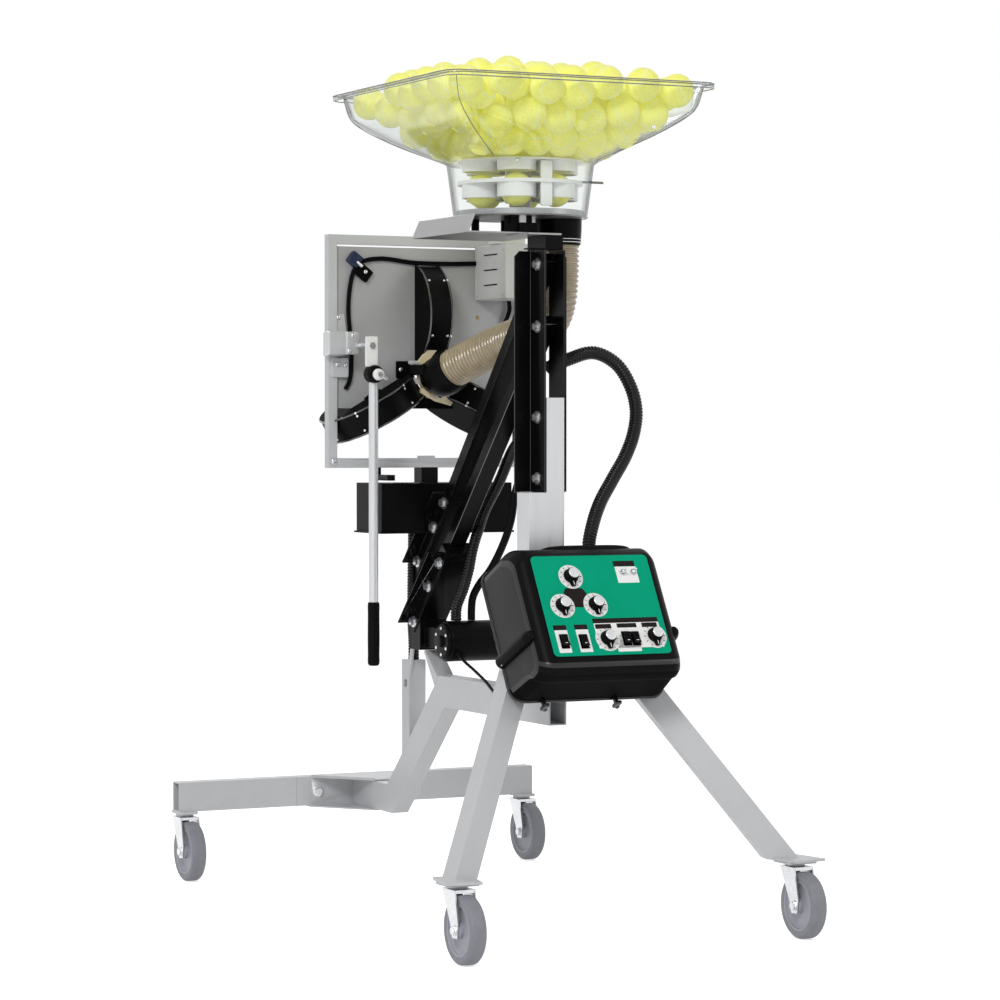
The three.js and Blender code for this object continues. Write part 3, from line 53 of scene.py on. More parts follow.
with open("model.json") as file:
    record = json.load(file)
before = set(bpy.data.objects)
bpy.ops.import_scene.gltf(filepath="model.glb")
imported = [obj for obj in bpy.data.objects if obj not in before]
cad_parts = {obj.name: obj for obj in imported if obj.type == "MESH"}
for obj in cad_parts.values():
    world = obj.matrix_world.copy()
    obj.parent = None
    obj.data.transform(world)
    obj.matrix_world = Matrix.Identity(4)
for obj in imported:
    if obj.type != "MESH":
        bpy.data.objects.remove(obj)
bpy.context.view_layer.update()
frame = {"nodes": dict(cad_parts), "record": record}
RIDES = {node: body for body, nodes in frame["record"]["behaviour"]["bodies"].items() for node in nodes}
SHIFT = np.array([0.0, 28.0, 0.0])
X, Y, Z = np.eye(3)
TILT = math.radians(30)
PANEL_UP = np.array([0, math.sin(TILT), math.cos(TILT)])
PANEL_OUT = np.array([0, -math.cos(TILT), math.sin(TILT)])
PANEL_AXES = (X, PANEL_UP, PANEL_OUT)
# The hopper's middle, and its six cups: how far out, their inner radius and where the first one stands
HOPPER_Y = -170
CUP_OUT = 84
CUP_RADIUS = 35
CUP_TURN = math.atan2(-2, CUP_OUT)
CAROUSEL_REACH = 124
# The feed hose's ribs, those of its upper run, and the points along each rib of a hose or conduit
HOSE_RIBS = 58
UPPER_RIBS = 40
RIB_STEPS = 8


# Settings


def colour_setting(name, description, default):
    """A colour that the sidebar shows."""
    return FloatVectorProperty(
        name=name, description=description, default=default, subtype="COLOR", size=3, min=0.0, max=1.0
    )


def length_setting(name, description, default, high):
    """A length in metres that the sidebar shows, from nought to a highest value."""
    return FloatProperty(
        name=name,
        description=description,
        default=default,
        min=0.0,
        max=high,
        subtype="DISTANCE",
        unit="LENGTH",
    )


class MachineSizes(bpy.types.PropertyGroup):
    """Sizes that a user would change"""

    ball: length_setting("Ball", "Diameter of a ball", 0.0667, 0.08)
    balls: IntProperty(name="Balls", description="Balls in the hopper", default=136, min=13, max=260)
    seed: IntProperty(name="Seed", description="Start of the heap's random places", default=7, min=0, max=999)
    tube_edge: length_setting("Tube edge", "Rounding along the edges of the steel tubes", 0.0026, 0.006)
    sheet_edge: length_setting("Sheet edge", "Rounding along the edges of sheet and angle", 0.0006, 0.002)
    box_edge: length_setting("Box edge", "Rounding along the control box", 0.026, 0.026)
    rib_pitch: length_setting("Conduit rib", "Distance between the ribs of a conduit", 0.0062, 0.02)


class MachineColours(bpy.types.PropertyGroup):
    """Colours that a user would change"""

    grey: colour_setting("Grey coat", "Powder coat of the base and the legs", (0.55, 0.56, 0.575))
    head_grey: colour_setting("Head grey", "Coat of the head's plate", (0.42, 0.425, 0.435))
    silver: colour_setting("Silver tube", "Bare tube of the mast", (0.62, 0.63, 0.645))
    black: colour_setting("Black coat", "Powder coat of angles and arms", (0.0035, 0.0035, 0.004))
    moulded: colour_setting("Moulded black", "Grained plastic of boxes and housings", (0.003, 0.003, 0.0034))
    rubber: colour_setting("Rubber", "Grips, conduits and cables", (0.004, 0.004, 0.0043))
    tread: colour_setting("Tread", "Caster tread", (0.235, 0.24, 0.27))
    zinc: colour_setting("Zinc", "Plated steel of forks and bolts", (0.66, 0.67, 0.69))
    clear: colour_setting("Clear", "Tint of the hopper", (0.975, 0.985, 0.98))
    white: colour_setting("White", "Cups, dial plates and switch plates", (0.89, 0.89, 0.88))
    hose: colour_setting("Hose", "Tan wall of the feed hose", (0.56, 0.45, 0.3))
    green: colour_setting("Green", "Printed panel", (0.0, 0.36, 0.2))
    ball: colour_setting("Ball felt", "Felt of the balls", (0.98, 0.95, 0.2))
    floor: colour_setting("Floor", "Floor under the machine", (0.93, 0.93, 0.93))


# Placing and meshing


def place(points):
    """Measured millimetres become metres in the row frame: p becomes (p + shift) / 1000."""
    return (np.asarray(points, float) + SHIFT) / 1000.0


def on_panel(points):
    """(x, v, n), across, up and out of the tilted panel, becomes x X + v up + n out."""
    p = np.asarray(points, float)
    return p[..., :1] * X + p[..., 1:2] * PANEL_UP + p[..., 2:3] * PANEL_OUT


def volume_sign(grid):
    """Six times the volume inside a closed grid: the sum of a . (b x c) over its triangles."""
    a, b = grid, np.roll(grid, -1, axis=1)
    c, d = np.roll(a, -1, axis=0), np.roll(b, -1, axis=0)
    a, b, c, d = a[:-1], b[:-1], c[:-1], d[:-1]
    return np.sum(np.cross(a, b) * d) + np.sum(np.cross(a, d) * c)


class Shape:
    """Closed grids of points gathered into one mesh, each with its own material number."""

    def __init__(self):
        self.points, self.quads, self.marks, self.count = [], [], [], 0

    def add(self, grid, mark=0, looped=False):
        """Rows of points, each row a closed ring; the last row meets the first when looped."""
        grid = np.asarray(grid, float)
        if looped:
            grid = np.concatenate([grid, grid[:1]])
        if volume_sign(grid - grid.reshape(-1, 3).mean(axis=0)) < 0:
            grid = grid[:, ::-1]
        rows, sides = grid.shape[:2]
        index = np.arange(rows * sides).reshape(rows, sides) + self.count
        turned = np.roll(index, -1, axis=1)
        quads = np.stack([index[:-1], turned[:-1], turned[1:], index[1:]], axis=-1).reshape(-1, 4)
        self.points.append(grid.reshape(-1, 3))
        self.quads.append(quads)
        self.marks.append(np.full(len(quads), mark))
        self.count += rows * sides
        return self

    def piece(self, name, materials, node, sharp=35.0, extra=(), carried=True):
        """One object from all grids, its poles and seams merged, riding where the node rides."""
        mesh = bpy.data.meshes.new(name)
        points = place(np.concatenate(self.points))
        mesh.from_pydata(points.tolist(), [], np.concatenate(self.quads).tolist())
        mesh.polygons.foreach_set("material_index", np.concatenate(self.marks).astype(np.int32))
        welded(mesh)
        return settled(name, mesh, materials, node, sharp, extra, carried)


def welded(mesh, reach=1e-6, flatten=None):
    """Merges points that share a place, drops faces without area and joins flat neighbours."""
    work = bmesh.new()
    work.from_mesh(mesh)
    bmesh.ops.remove_doubles(work, verts=work.verts, dist=reach)
    bmesh.ops.dissolve_degenerate(work, edges=work.edges, dist=reach)
    if flatten is not None:
        bmesh.ops.dissolve_limit(
            work, angle_limit=math.radians(flatten), verts=work.verts, edges=work.edges, delimit={"MATERIAL"}
        )
    work.to_mesh(mesh)
    work.free()
    mesh.validate()


def settled(name, mesh, materials, node, sharp=35.0, extra=(), carried=True):
    """Shades the mesh, gives it materials, and makes it ride for one node and stand for others."""
    for material in materials:
        mesh.materials.append(finish(material))
    mesh.polygons.foreach_set("use_smooth", np.ones(len(mesh.polygons), bool))
    mesh.set_sharp_from_angle(angle=math.radians(sharp))
    piece = bpy.data.objects.new(name, mesh)
    bpy.context.scene.collection.objects.link(piece)
    if carried:
        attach(piece, RIDES[node])
    if extra is not None:
        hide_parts(node, *extra)
    return piece


def dressed(node, materials, edge, marks=(), segments=2, name=None, rim=None):
    """The node's own solid with softened edges. Each mark is (test of face middles and normals in
    measured millimetres, material number), and rim is the material of the rounded edges."""
    name = name or node + "_dressed"
    mesh = frame["nodes"][node].data.copy()
    mesh.name = name
    mesh.materials.clear()
    welded(mesh, 2e-6)
    total = len(mesh.polygons)
    middles, normals = np.empty(total * 3), np.empty(total * 3)
    mesh.polygons.foreach_get("center", middles)
    mesh.polygons.foreach_get("normal", normals)
    middles = middles.reshape(-1, 3) * 1000 - SHIFT
    normals = normals.reshape(-1, 3)
    number = np.zeros(total, np.int32)
    for test, mark in marks:
        number[test(middles, normals)] = mark
    mesh.polygons.foreach_set("material_index", number)
    welded(mesh, 2e-6, flatten=0.6)
    piece = settled(name, mesh, materials + ([rim] if rim else []), node)
    soften(piece, edge, segments)
    if rim:
        piece.modifiers[0].material = len(materials)
    return piece


def soften(piece, edge, segments, limit=32.0):
    """Rounds every edge sharper than the limit in degrees with a bevel of the given width."""
    bevel = piece.modifiers.new("soft edges", "BEVEL")
    bevel.width = edge
    bevel.segments = segments
    bevel.limit_method = "ANGLE"
    bevel.angle_limit = math.radians(limit)
    bevel.harden_normals = True
    bevel.miter_outer = "MITER_ARC"


# Surfaces


def level(points):
    """An outline in (x, y) at a height z."""
    return points


def standing(points):
    """An outline in (x, z) at a depth y."""
    return points[..., [0, 2, 1]]


def circle(count):
    """Angles spaced evenly round a circle."""
    return 2 * np.pi * np.arange(count) / count


def across(axis):
    """Two unit directions square to an axis and to each other."""
    axis = np.asarray(axis, float)
    side = np.cross(axis, X if abs(axis[0]) < 0.8 else Y)
    side /= np.linalg.norm(side)
    return side, np.cross(axis / np.linalg.norm(axis), side)


def turned(profile, centre, axis=Z, sides=32, flutes=0, flute=0.0):
    """P(s, t) = centre + h(s) axis + r(s) (1 - flute (1 - cos(flutes t)) / 2) (cos t e1 + sin t e2)."""
    profile = np.asarray(profile, float)
    axis = np.asarray(axis, float) / np.linalg.norm(axis)
    first, second = across(axis)
    t = circle(sides)
    ring = np.cos(t)[:, None] * first + np.sin(t)[:, None] * second
    swell = 1 - flute * (1 - np.cos(flutes * t)) / 2
    reach = profile[:, :1] * swell[None, :]
    return np.asarray(centre, float) + profile[:, 1][:, None, None] * axis + reach[:, :, None] * ring


def rounded_profile(profile, radius, steps=4):
    """Every inner corner of an (r, h) profile is replaced by a quadratic arc that starts and ends a
    radius away: (1-t)^2 a + 2t(1-t) corner + t^2 b."""
    profile = np.asarray(profile, float)
    before, here, after = profile[:-2], profile[1:-1], profile[2:]
    to_a, to_b = before - here, after - here
    long_a = np.linalg.norm(to_a, axis=1, keepdims=True)
    long_b = np.linalg.norm(to_b, axis=1, keepdims=True)
    a = here + to_a * np.minimum(radius / long_a, 0.48)
    b = here + to_b * np.minimum(radius / long_b, 0.48)
    t = np.linspace(0, 1, steps + 1)[None, :, None]
    arcs = (1 - t) ** 2 * a[:, None] + 2 * t * (1 - t) * here[:, None] + t**2 * b[:, None]
    return np.concatenate([profile[:1], arcs.reshape(-1, 2), profile[-1:]])


def smooth_path(points, count):
    """A centripetal Catmull-Rom curve through the points: the cubic of each span has end slopes
    taken over square-root chord times, and the curve is cut into equal arc lengths."""
    p = np.asarray(points, float)
    p = np.concatenate([[2 * p[0] - p[1]], p, [2 * p[-1] - p[-2]]])
    chord = np.sqrt(np.linalg.norm(np.diff(p, axis=0), axis=1))[:, None]
    a, b, c, d = p[:-3], p[1:-2], p[2:-1], p[3:]
    ta, tb, tc = chord[:-2], chord[1:-1], chord[2:]
    leave = ((b - a) / ta - (c - a) / (ta + tb) + (c - b) / tb) * tb
    arrive = ((c - b) / tb - (d - b) / (tb + tc) + (d - c) / tc) * tb
    t = np.linspace(0, 1, 41)[None, :, None]
    b, c, leave, arrive = b[:, None], c[:, None], leave[:, None], arrive[:, None]
    cubic = b + leave * t + (3 * (c - b) - 2 * leave - arrive) * t**2 + (2 * (b - c) + leave + arrive) * t**3
    line = np.concatenate([cubic[:, :-1].reshape(-1, 3), cubic[-1:, -1]])
    return even(line, count)


def even(line, count):
    """The same line cut at count points of equal arc length."""
    length = np.concatenate([[0], np.cumsum(np.linalg.norm(np.diff(line, axis=0), axis=1))])
    share = np.linspace(0, length[-1], count)
    return np.stack([np.interp(share, length, line[:, k]) for k in range(3)], axis=1)


def path_length(line):
    """The sum of the distances between neighbouring points."""
    return float(np.sum(np.linalg.norm(np.diff(line, axis=0), axis=1)))


def sections(line, radius, sides, upright):
    """P(s, t) = C(s) + r(s) (cos t N + sin t B), where N = T x upright and B = T x N."""
    line = np.asarray(line, float)
    along = np.gradient(line, axis=0)
    along /= np.linalg.norm(along, axis=1, keepdims=True)
    side = np.cross(along, upright)
    side /= np.linalg.norm(side, axis=1, keepdims=True)
    rise = np.cross(along, side)
    t = circle(sides)
    ring = np.cos(t)[None, :, None] * side[:, None] + np.sin(t)[None, :, None] * rise[:, None]
    return line[:, None] + np.broadcast_to(radius, len(line))[:, None, None] * ring


def capped(grid):
    """A tube closed at both ends by a row at the middle of each end ring."""
    ends = [np.repeat(row.mean(axis=0)[None, None], grid.shape[1], axis=1) for row in (grid[0], grid[-1])]
    return np.concatenate([ends[0], grid, ends[1]])


def pad(centre, half, power=6.0, axes=(X, Y, Z), rows=14, sides=28):
    """A superellipsoid: x = a c(u) c(v), y = b c(u) s(v), z = c s(u), with c and s raised to 2 / power
    and their signs kept, which is a block with soft edges."""
    u = np.linspace(-np.pi / 2, np.pi / 2, rows)[:, None]
    v = (2 * np.pi * (np.arange(sides) + 0.5) / sides)[None, :]

    def lift(value):
        return np.sign(value) * np.abs(value) ** (2 / power)

    x, y, z = lift(np.cos(u)) * lift(np.cos(v)), lift(np.cos(u)) * lift(np.sin(v)), lift(np.sin(u)) + 0 * v
    parts = [half[k] * value[..., None] * axes[k] for k, value in enumerate((x, y, z))]
    return np.asarray(centre, float) + sum(parts)


def plate(outline, low, high, to_space, edge=0.4):
    """A flat plate from an outline (a, b) between two heights, its rims drawn in by an edge:
    rows are the middle, the drawn-in rim, the full rim twice, the drawn-in rim and the middle."""
    outline = np.asarray(outline, float)
    middle = outline.mean(axis=0)
    offset = outline - middle
    small = middle + offset * (1 - edge / np.abs(offset).max(axis=0))
    rows = [(middle + 0 * offset, low), (small, low), (outline, low + edge), (outline, high - edge)]
    rows += [(small, high), (middle + 0 * offset, high)]
    stack = [np.concatenate([ring, np.full((len(ring), 1), height)], axis=1) for ring, height in rows]
    return to_space(np.array(stack))


def rounded_outline(centre, half, radius, steps=6):
    """Corners of radius r about a rectangle: corner centre + r (cos a, sin a), a quarter turn each."""
    a = np.linspace(0, np.pi / 2, steps + 1)
    arc = np.stack([np.cos(a), np.sin(a)], axis=1) * radius
    turns = [np.array([[1, 0], [0, 1]]), np.array([[0, 1], [-1, 0]]), -np.eye(2), np.array([[0, -1], [1, 0]])]
    corners = np.array([[1, 1], [-1, 1], [-1, -1], [1, -1]]) * (np.asarray(half, float) - radius)
    return np.asarray(centre, float) + np.concatenate(
        [corner + arc @ turn for corner, turn in zip(corners, turns)]
    )


def hex_head(centre, out, radius=8.0, tall=6.0):
    """A hexagon of corner radius r whose top edge is cut by a cone: r(t) = flat / cos(t mod 60)."""
    first, second = across(out)
    t = circle(24)
    flat = radius * math.cos(math.pi / 6)
    edge = flat / np.cos((t + math.pi / 6) % (math.pi / 3) - math.pi / 6)
    top = np.minimum(edge, flat * 0.98)
    ring = np.cos(t)[:, None] * first + np.sin(t)[:, None] * second
    rows = [(0 * edge, 0), (edge, 0), (edge, tall * 0.86), (top, tall), (0 * edge, tall)]
    out = np.asarray(out, float)
    return np.array(
        [np.asarray(centre, float) + out * height + reach[:, None] * ring for reach, height in rows]
    )


def screw(centre, out, radius=3.2, tall=2.0):
    """A round screw head: a dome profile turned about the way it points."""
    profile = [(0, 0), (radius, 0), (radius, tall * 0.45), (radius * 0.72, tall * 0.86), (0, tall)]
    return turned(rounded_profile(profile, radius * 0.3, 3), centre, out, 14)


# Materials


def node(tree, kind, **values):
    """A new node whose inputs, or else properties, take the given values."""
    made = tree.nodes.new(kind)
    for name, value in values.items():
        if name in made.inputs:
            made.inputs[name].default_value = value
        else:
            setattr(made, name, value)
    return made


def spread(value):
    """A colour with full alpha."""
    return (*value, 1.0)


def link(tree, source, output, target, entry):
    """Joins an output of one node to an input of another."""
    tree.links.new(source.outputs[output], target.inputs[entry])


def first_seen(tree):
    """One where a ray comes from the camera, off a gloss or through glass, and nought elsewhere."""
    rays = node(tree, "ShaderNodeLightPath")
    first = node(tree, "ShaderNodeMath", operation="MAXIMUM")
    second = node(tree, "ShaderNodeMath", operation="MAXIMUM")
    link(tree, rays, "Is Camera Ray", first, 0)
    link(tree, rays, "Is Glossy Ray", first, 1)
    link(tree, first, 0, second, 0)
    link(tree, rays, "Is Transmission Ray", second, 1)
    return second


def coated(name, colour, rough, **look):
    """Coloured skin with a slow change of shade, an uneven gloss and a fine raised grain.
    grain is the grain's count per metre, stretch its scale along x, y and z."""
    made = bpy.data.materials.get("skin_" + name)
    if made:
        return made
    made = bpy.data.materials.new("skin_" + name)
    made.use_nodes = True
    tree = made.node_tree
    shader = tree.nodes["Principled BSDF"]
    shader.inputs["Metallic"].default_value = look.get("metallic", 0.0)
    shader.inputs["Coat Weight"].default_value = look.get("coat", 0.0)
    shader.inputs["Coat Roughness"].default_value = look.get("coat_rough", 0.2)
    shader.inputs["Specular IOR Level"].default_value = look.get("specular", 0.5)
    shader.inputs["Transmission Weight"].default_value = look.get("transmission", 0.0)
    shader.inputs["Subsurface Weight"].default_value = look.get("subsurface", 0.0)
    shader.inputs["Subsurface Scale"].default_value = 0.01
    place_node = node(tree, "ShaderNodeTexCoord")
    stretch = node(tree, "ShaderNodeMapping", Scale=look.get("stretch", (1, 1, 1)))
    link(tree, place_node, "Object", stretch, "Vector")
    patch = node(tree, "ShaderNodeTexNoise", Scale=look.get("patch", 7.0), Detail=5.0, Roughness=0.62)
    link(tree, stretch, "Vector", patch, "Vector")
    shade = look.get("shade", 0.08)
    ramp = node(tree, "ShaderNodeValToRGB")
    ramp.color_ramp.elements[0].position = 0.3
    ramp.color_ramp.elements[1].position = 0.7
    ramp.color_ramp.elements[0].color = spread([c * (1 - shade) for c in colour])
    ramp.color_ramp.elements[1].color = spread([min(c * (1 + shade), 1.0) for c in colour])
    link(tree, patch, "Fac", ramp, "Fac")
    link(tree, ramp, "Color", shader, "Base Color")
    if look.get("pebbled"):
        grain = node(tree, "ShaderNodeTexVoronoi", Scale=look.get("grain", 600.0), feature="SMOOTH_F1")
        height = grain.outputs["Distance"]
    else:
        grain = node(tree, "ShaderNodeTexNoise", Scale=look.get("grain", 900.0), Detail=3.0)
        height = grain.outputs["Fac"]
    link(tree, stretch, "Vector", grain, "Vector")
    gloss = node(tree, "ShaderNodeMapRange")
    gloss.inputs["To Min"].default_value = max(rough - look.get("uneven", 0.08), 0.02)
    gloss.inputs["To Max"].default_value = min(rough + look.get("uneven", 0.08), 1.0)
    link(tree, patch, "Fac", gloss, "Value")
    link(tree, gloss, "Result", shader, "Roughness")
    bump = node(
        tree, "ShaderNodeBump", Strength=look.get("raise_by", 0.25), Distance=look.get("depth", 0.0003)
    )
    tree.links.new(height, bump.inputs["Height"])
    link(tree, bump, "Normal", shader, "Normal")
    return made


def colours():
    """The scene's colour settings."""
    return bpy.context.scene.machine_colours


def sizes():
    """The scene's size settings."""
    return bpy.context.scene.machine_sizes


# Each finish: the material's name, a colour setting's name or a fixed colour, the roughness, and the
# rest of what coated() takes
FINISHES = {
    "grey_coat": ("grey_powder_coat", "grey", 0.42, dict(shade=0.05, patch=5, grain=1300, raise_by=0.18)),
    "head_coat": ("head_grey_coat", "head_grey", 0.36, dict(shade=0.05, patch=5, grain=1300, raise_by=0.15)),
    "silver_tube": (
        "satin_silver_tube",
        "silver",
        0.34,
        dict(shade=0.06, stretch=(1, 1, 0.05), metallic=0.55, patch=40, grain=900, raise_by=0.1),
    ),
    "black_coat": (
        "satin_black_coat",
        "black",
        0.26,
        dict(shade=0.25, specular=0.07, patch=9, grain=1200, raise_by=0.1, uneven=0.06),
    ),
    # A lighter, glossier copy of the black on rounded edges and beads: painted highlight
    "edge_highlight_black": (
        "glossy_black_edge",
        (0.012, 0.012, 0.013),
        0.2,
        dict(shade=0.2, specular=1.0, coat=0.5, coat_rough=0.12, patch=30, grain=1500, raise_by=0.04),
    ),
    # Glossier grained black of the panel's bead and the clips, and a painted highlight in strips along the
    # box's edges
    "glossy_black_and_edge_highlight": (
        "grained_black_edge",
        "moulded",
        0.3,
        dict(shade=0.2, pebbled=True, specular=0.5, grain=420, raise_by=0.1, depth=0.0003),
    ),
    # The box's flat sides: a coarser grain, and more gloss as painted light that makes them lighter
    "lit_side_grain": (
        "grained_black_side",
        "moulded",
        0.42,
        dict(shade=0.3, pebbled=True, specular=0.32, grain=330, raise_by=0.2, depth=0.0004, patch=12),
    ),
    "moulded_black": (
        "grained_black_plastic",
        "moulded",
        0.36,
        dict(shade=0.3, pebbled=True, specular=0.06, grain=380, raise_by=0.13, depth=0.0003, patch=12),
    ),
    "smooth_black": (
        "smooth_black_plastic",
        "moulded",
        0.3,
        dict(shade=0.2, specular=0.05, patch=15, grain=1500, raise_by=0.06),
    ),
    "rubber": (
        "black_rubber",
        "rubber",
        0.42,
        dict(shade=0.3, specular=0.05, patch=25, grain=1100, raise_by=0.04),
    ),
    "conduit_black": (
        "ribbed_conduit_black",
        "rubber",
        0.27,
        dict(shade=0.25, specular=0.2, patch=30, grain=1500, raise_by=0.06),
    ),
    "tread_grey": ("caster_tread_rubber", "tread", 0.55, dict(shade=0.1, patch=30, grain=900, raise_by=0.2)),
    "core_grey": ("caster_core_plastic", "core", 0.42, dict(shade=0.08, patch=30, grain=700, raise_by=0.1)),
    "tray_metal": (
        "satin_tray_metal",
        (0.36, 0.36, 0.37),
        0.34,
        dict(shade=0.08, metallic=0.7, stretch=(1, 0.1, 1), patch=30, grain=900, raise_by=0.08),
    ),
    "zinc": (
        "bright_zinc",
        "zinc",
        0.28,
        dict(shade=0.1, metallic=0.9, uneven=0.12, patch=55, grain=1600, raise_by=0.1),
    ),
    "white_plastic": (
        "white_moulded_plastic",
        "white",
        0.35,
        dict(shade=0.03, patch=20, grain=900, raise_by=0.05),
    ),
    "white_print": (
        "white_printed_plate",
        "white",
        0.4,
        dict(shade=0.02, patch=40, grain=2200, raise_by=0.03),
    ),
    "cream_lining": (
        "cream_throat_lining",
        (0.72, 0.62, 0.42),
        0.5,
        dict(shade=0.08, patch=30, grain=900, raise_by=0.1),
    ),
    "green_panel": (
        "green_printed_panel",
        "green",
        0.42,
        dict(shade=0.05, specular=0.06, patch=14, grain=2000, raise_by=0.04),
    ),
    "dark_print": (
        "dark_printed_strip",
        (0.012, 0.009, 0.008),
        0.5,
        dict(shade=0.1, patch=40, raise_by=0.04, specular=0.1),
    ),
    "hose_tan": (
        "translucent_tan_hose",
        "hose",
        0.2,
        dict(
            shade=0.18, specular=0.6, coat=0.35, coat_rough=0.12, transmission=0.25, subsurface=0.12,
            patch=45, grain=500, raise_by=0.1, uneven=0.06,
        ),
    ),
    "hose_wire": (
        "hose_wire_rib",
        (0.3, 0.25, 0.16),
        0.32,
        dict(shade=0.12, patch=45, grain=700, raise_by=0.1),
    ),
    "pale_sheet": (
        "pale_brushed_sheet",
        (0.74, 0.745, 0.75),
        0.4,
        dict(shade=0.04, patch=20, grain=1300, raise_by=0.1),
    ),
    # Matt black of the housings' flat faces and the skirt, and painted shade on the control box's underside
    "matt_black": (
        "matt_black_side",
        (0.006, 0.006, 0.006),
        0.75,
        dict(shade=0.2, specular=0.02, patch=12, grain=700, raise_by=0.1),
    ),
    # Painted shade: black strips that stand for the dark inside the louvre's slits
    "dark_inside": (
        "dark_inside",
        (0.004, 0.004, 0.004),
        0.8,
        dict(shade=0.2, patch=30, grain=900, raise_by=0.1),
    ),
    "dull_brass": ("dull_brass", (0.4, 0.27, 0.1), 0.35, dict(metallic=0.9, patch=60, grain=900)),
    "dark_blue_connector": ("dark_blue_connector", (0.02, 0.03, 0.07), 0.4, dict(specular=0.2, patch=60)),
    # Grey of the neck's rod, and painted shade in the dark lines along the hopper's creases and rim edges
    "smoky_edge": ("smoky_edge", (0.2, 0.205, 0.2), 0.25, dict(patch=20, shade=0.15)),
}


def finish(name):
    """The material of a named finish, made on first use from a colour setting or a fixed colour."""
    if name == "clear_wall":
        return clear_wall()
    if name == "ball_felt":
        return ball_felt()
    material, colour, rough, look = FINISHES[name]
    if colour == "core":
        colour = [min(c * 1.5, 1) for c in colours().tread]
    elif isinstance(colour, str):
        colour = getattr(colours(), colour)
    return coated(material, colour, rough, **look)


def clear_wall():
    """Thin clear sheet: straight-through light that greys edge-on, under a thin glossy skin."""
    made = bpy.data.materials.get("clear_hopper_sheet")
    if made:
        return made
    made = bpy.data.materials.new("clear_hopper_sheet")
    made.use_nodes = True
    tree = made.node_tree
    tree.nodes.clear()
    out = node(tree, "ShaderNodeOutputMaterial")
    place_node = node(tree, "ShaderNodeTexCoord")
    haze = node(tree, "ShaderNodeTexNoise", Scale=22.0, Detail=4.0)
    link(tree, place_node, "Object", haze, "Vector")
    through = node(tree, "ShaderNodeBsdfTransparent")
    edge = node(tree, "ShaderNodeLayerWeight", Blend=0.5)
    tint = node(tree, "ShaderNodeValToRGB")
    clear = colours().clear
    stops = tint.color_ramp.elements
    stops[0].color = spread(clear)
    stops[1].color = spread([c * 0.22 for c in clear])
    stops.new(0.6).color = spread([c * 0.99 for c in clear])
    stops.new(0.82).color = spread([c * 0.74 for c in clear])
    cloud = node(tree, "ShaderNodeMath", operation="MULTIPLY_ADD")
    cloud.inputs[1].default_value = 0.08
    link(tree, haze, "Fac", cloud, 0)
    link(tree, edge, "Facing", cloud, 2)
    link(tree, cloud, 0, tint, "Fac")
    link(tree, tint, "Color", through, "Color")
    skin = node(tree, "ShaderNodeBsdfGlossy", Roughness=0.04)
    skin.inputs["Color"].default_value = (0.93, 0.95, 0.95, 1)
    ripple = node(tree, "ShaderNodeBump", Strength=0.06, Distance=0.001)
    link(tree, haze, "Fac", ripple, "Height")
    link(tree, ripple, "Normal", skin, "Normal")
    steep = node(tree, "ShaderNodeMath", operation="POWER")
    steep.inputs[1].default_value = 3.0
    link(tree, edge, "Facing", steep, 0)
    share = node(tree, "ShaderNodeMapRange")
    share.inputs["To Min"].default_value = 0.015
    share.inputs["To Max"].default_value = 0.35
    link(tree, steep, 0, share, "Value")
    mix = node(tree, "ShaderNodeMixShader")
    link(tree, share, "Result", mix, "Fac")
    link(tree, through, "BSDF", mix, 1)
    link(tree, skin, "BSDF", mix, 2)
    link(tree, mix, "Shader", out, "Surface")
    return made


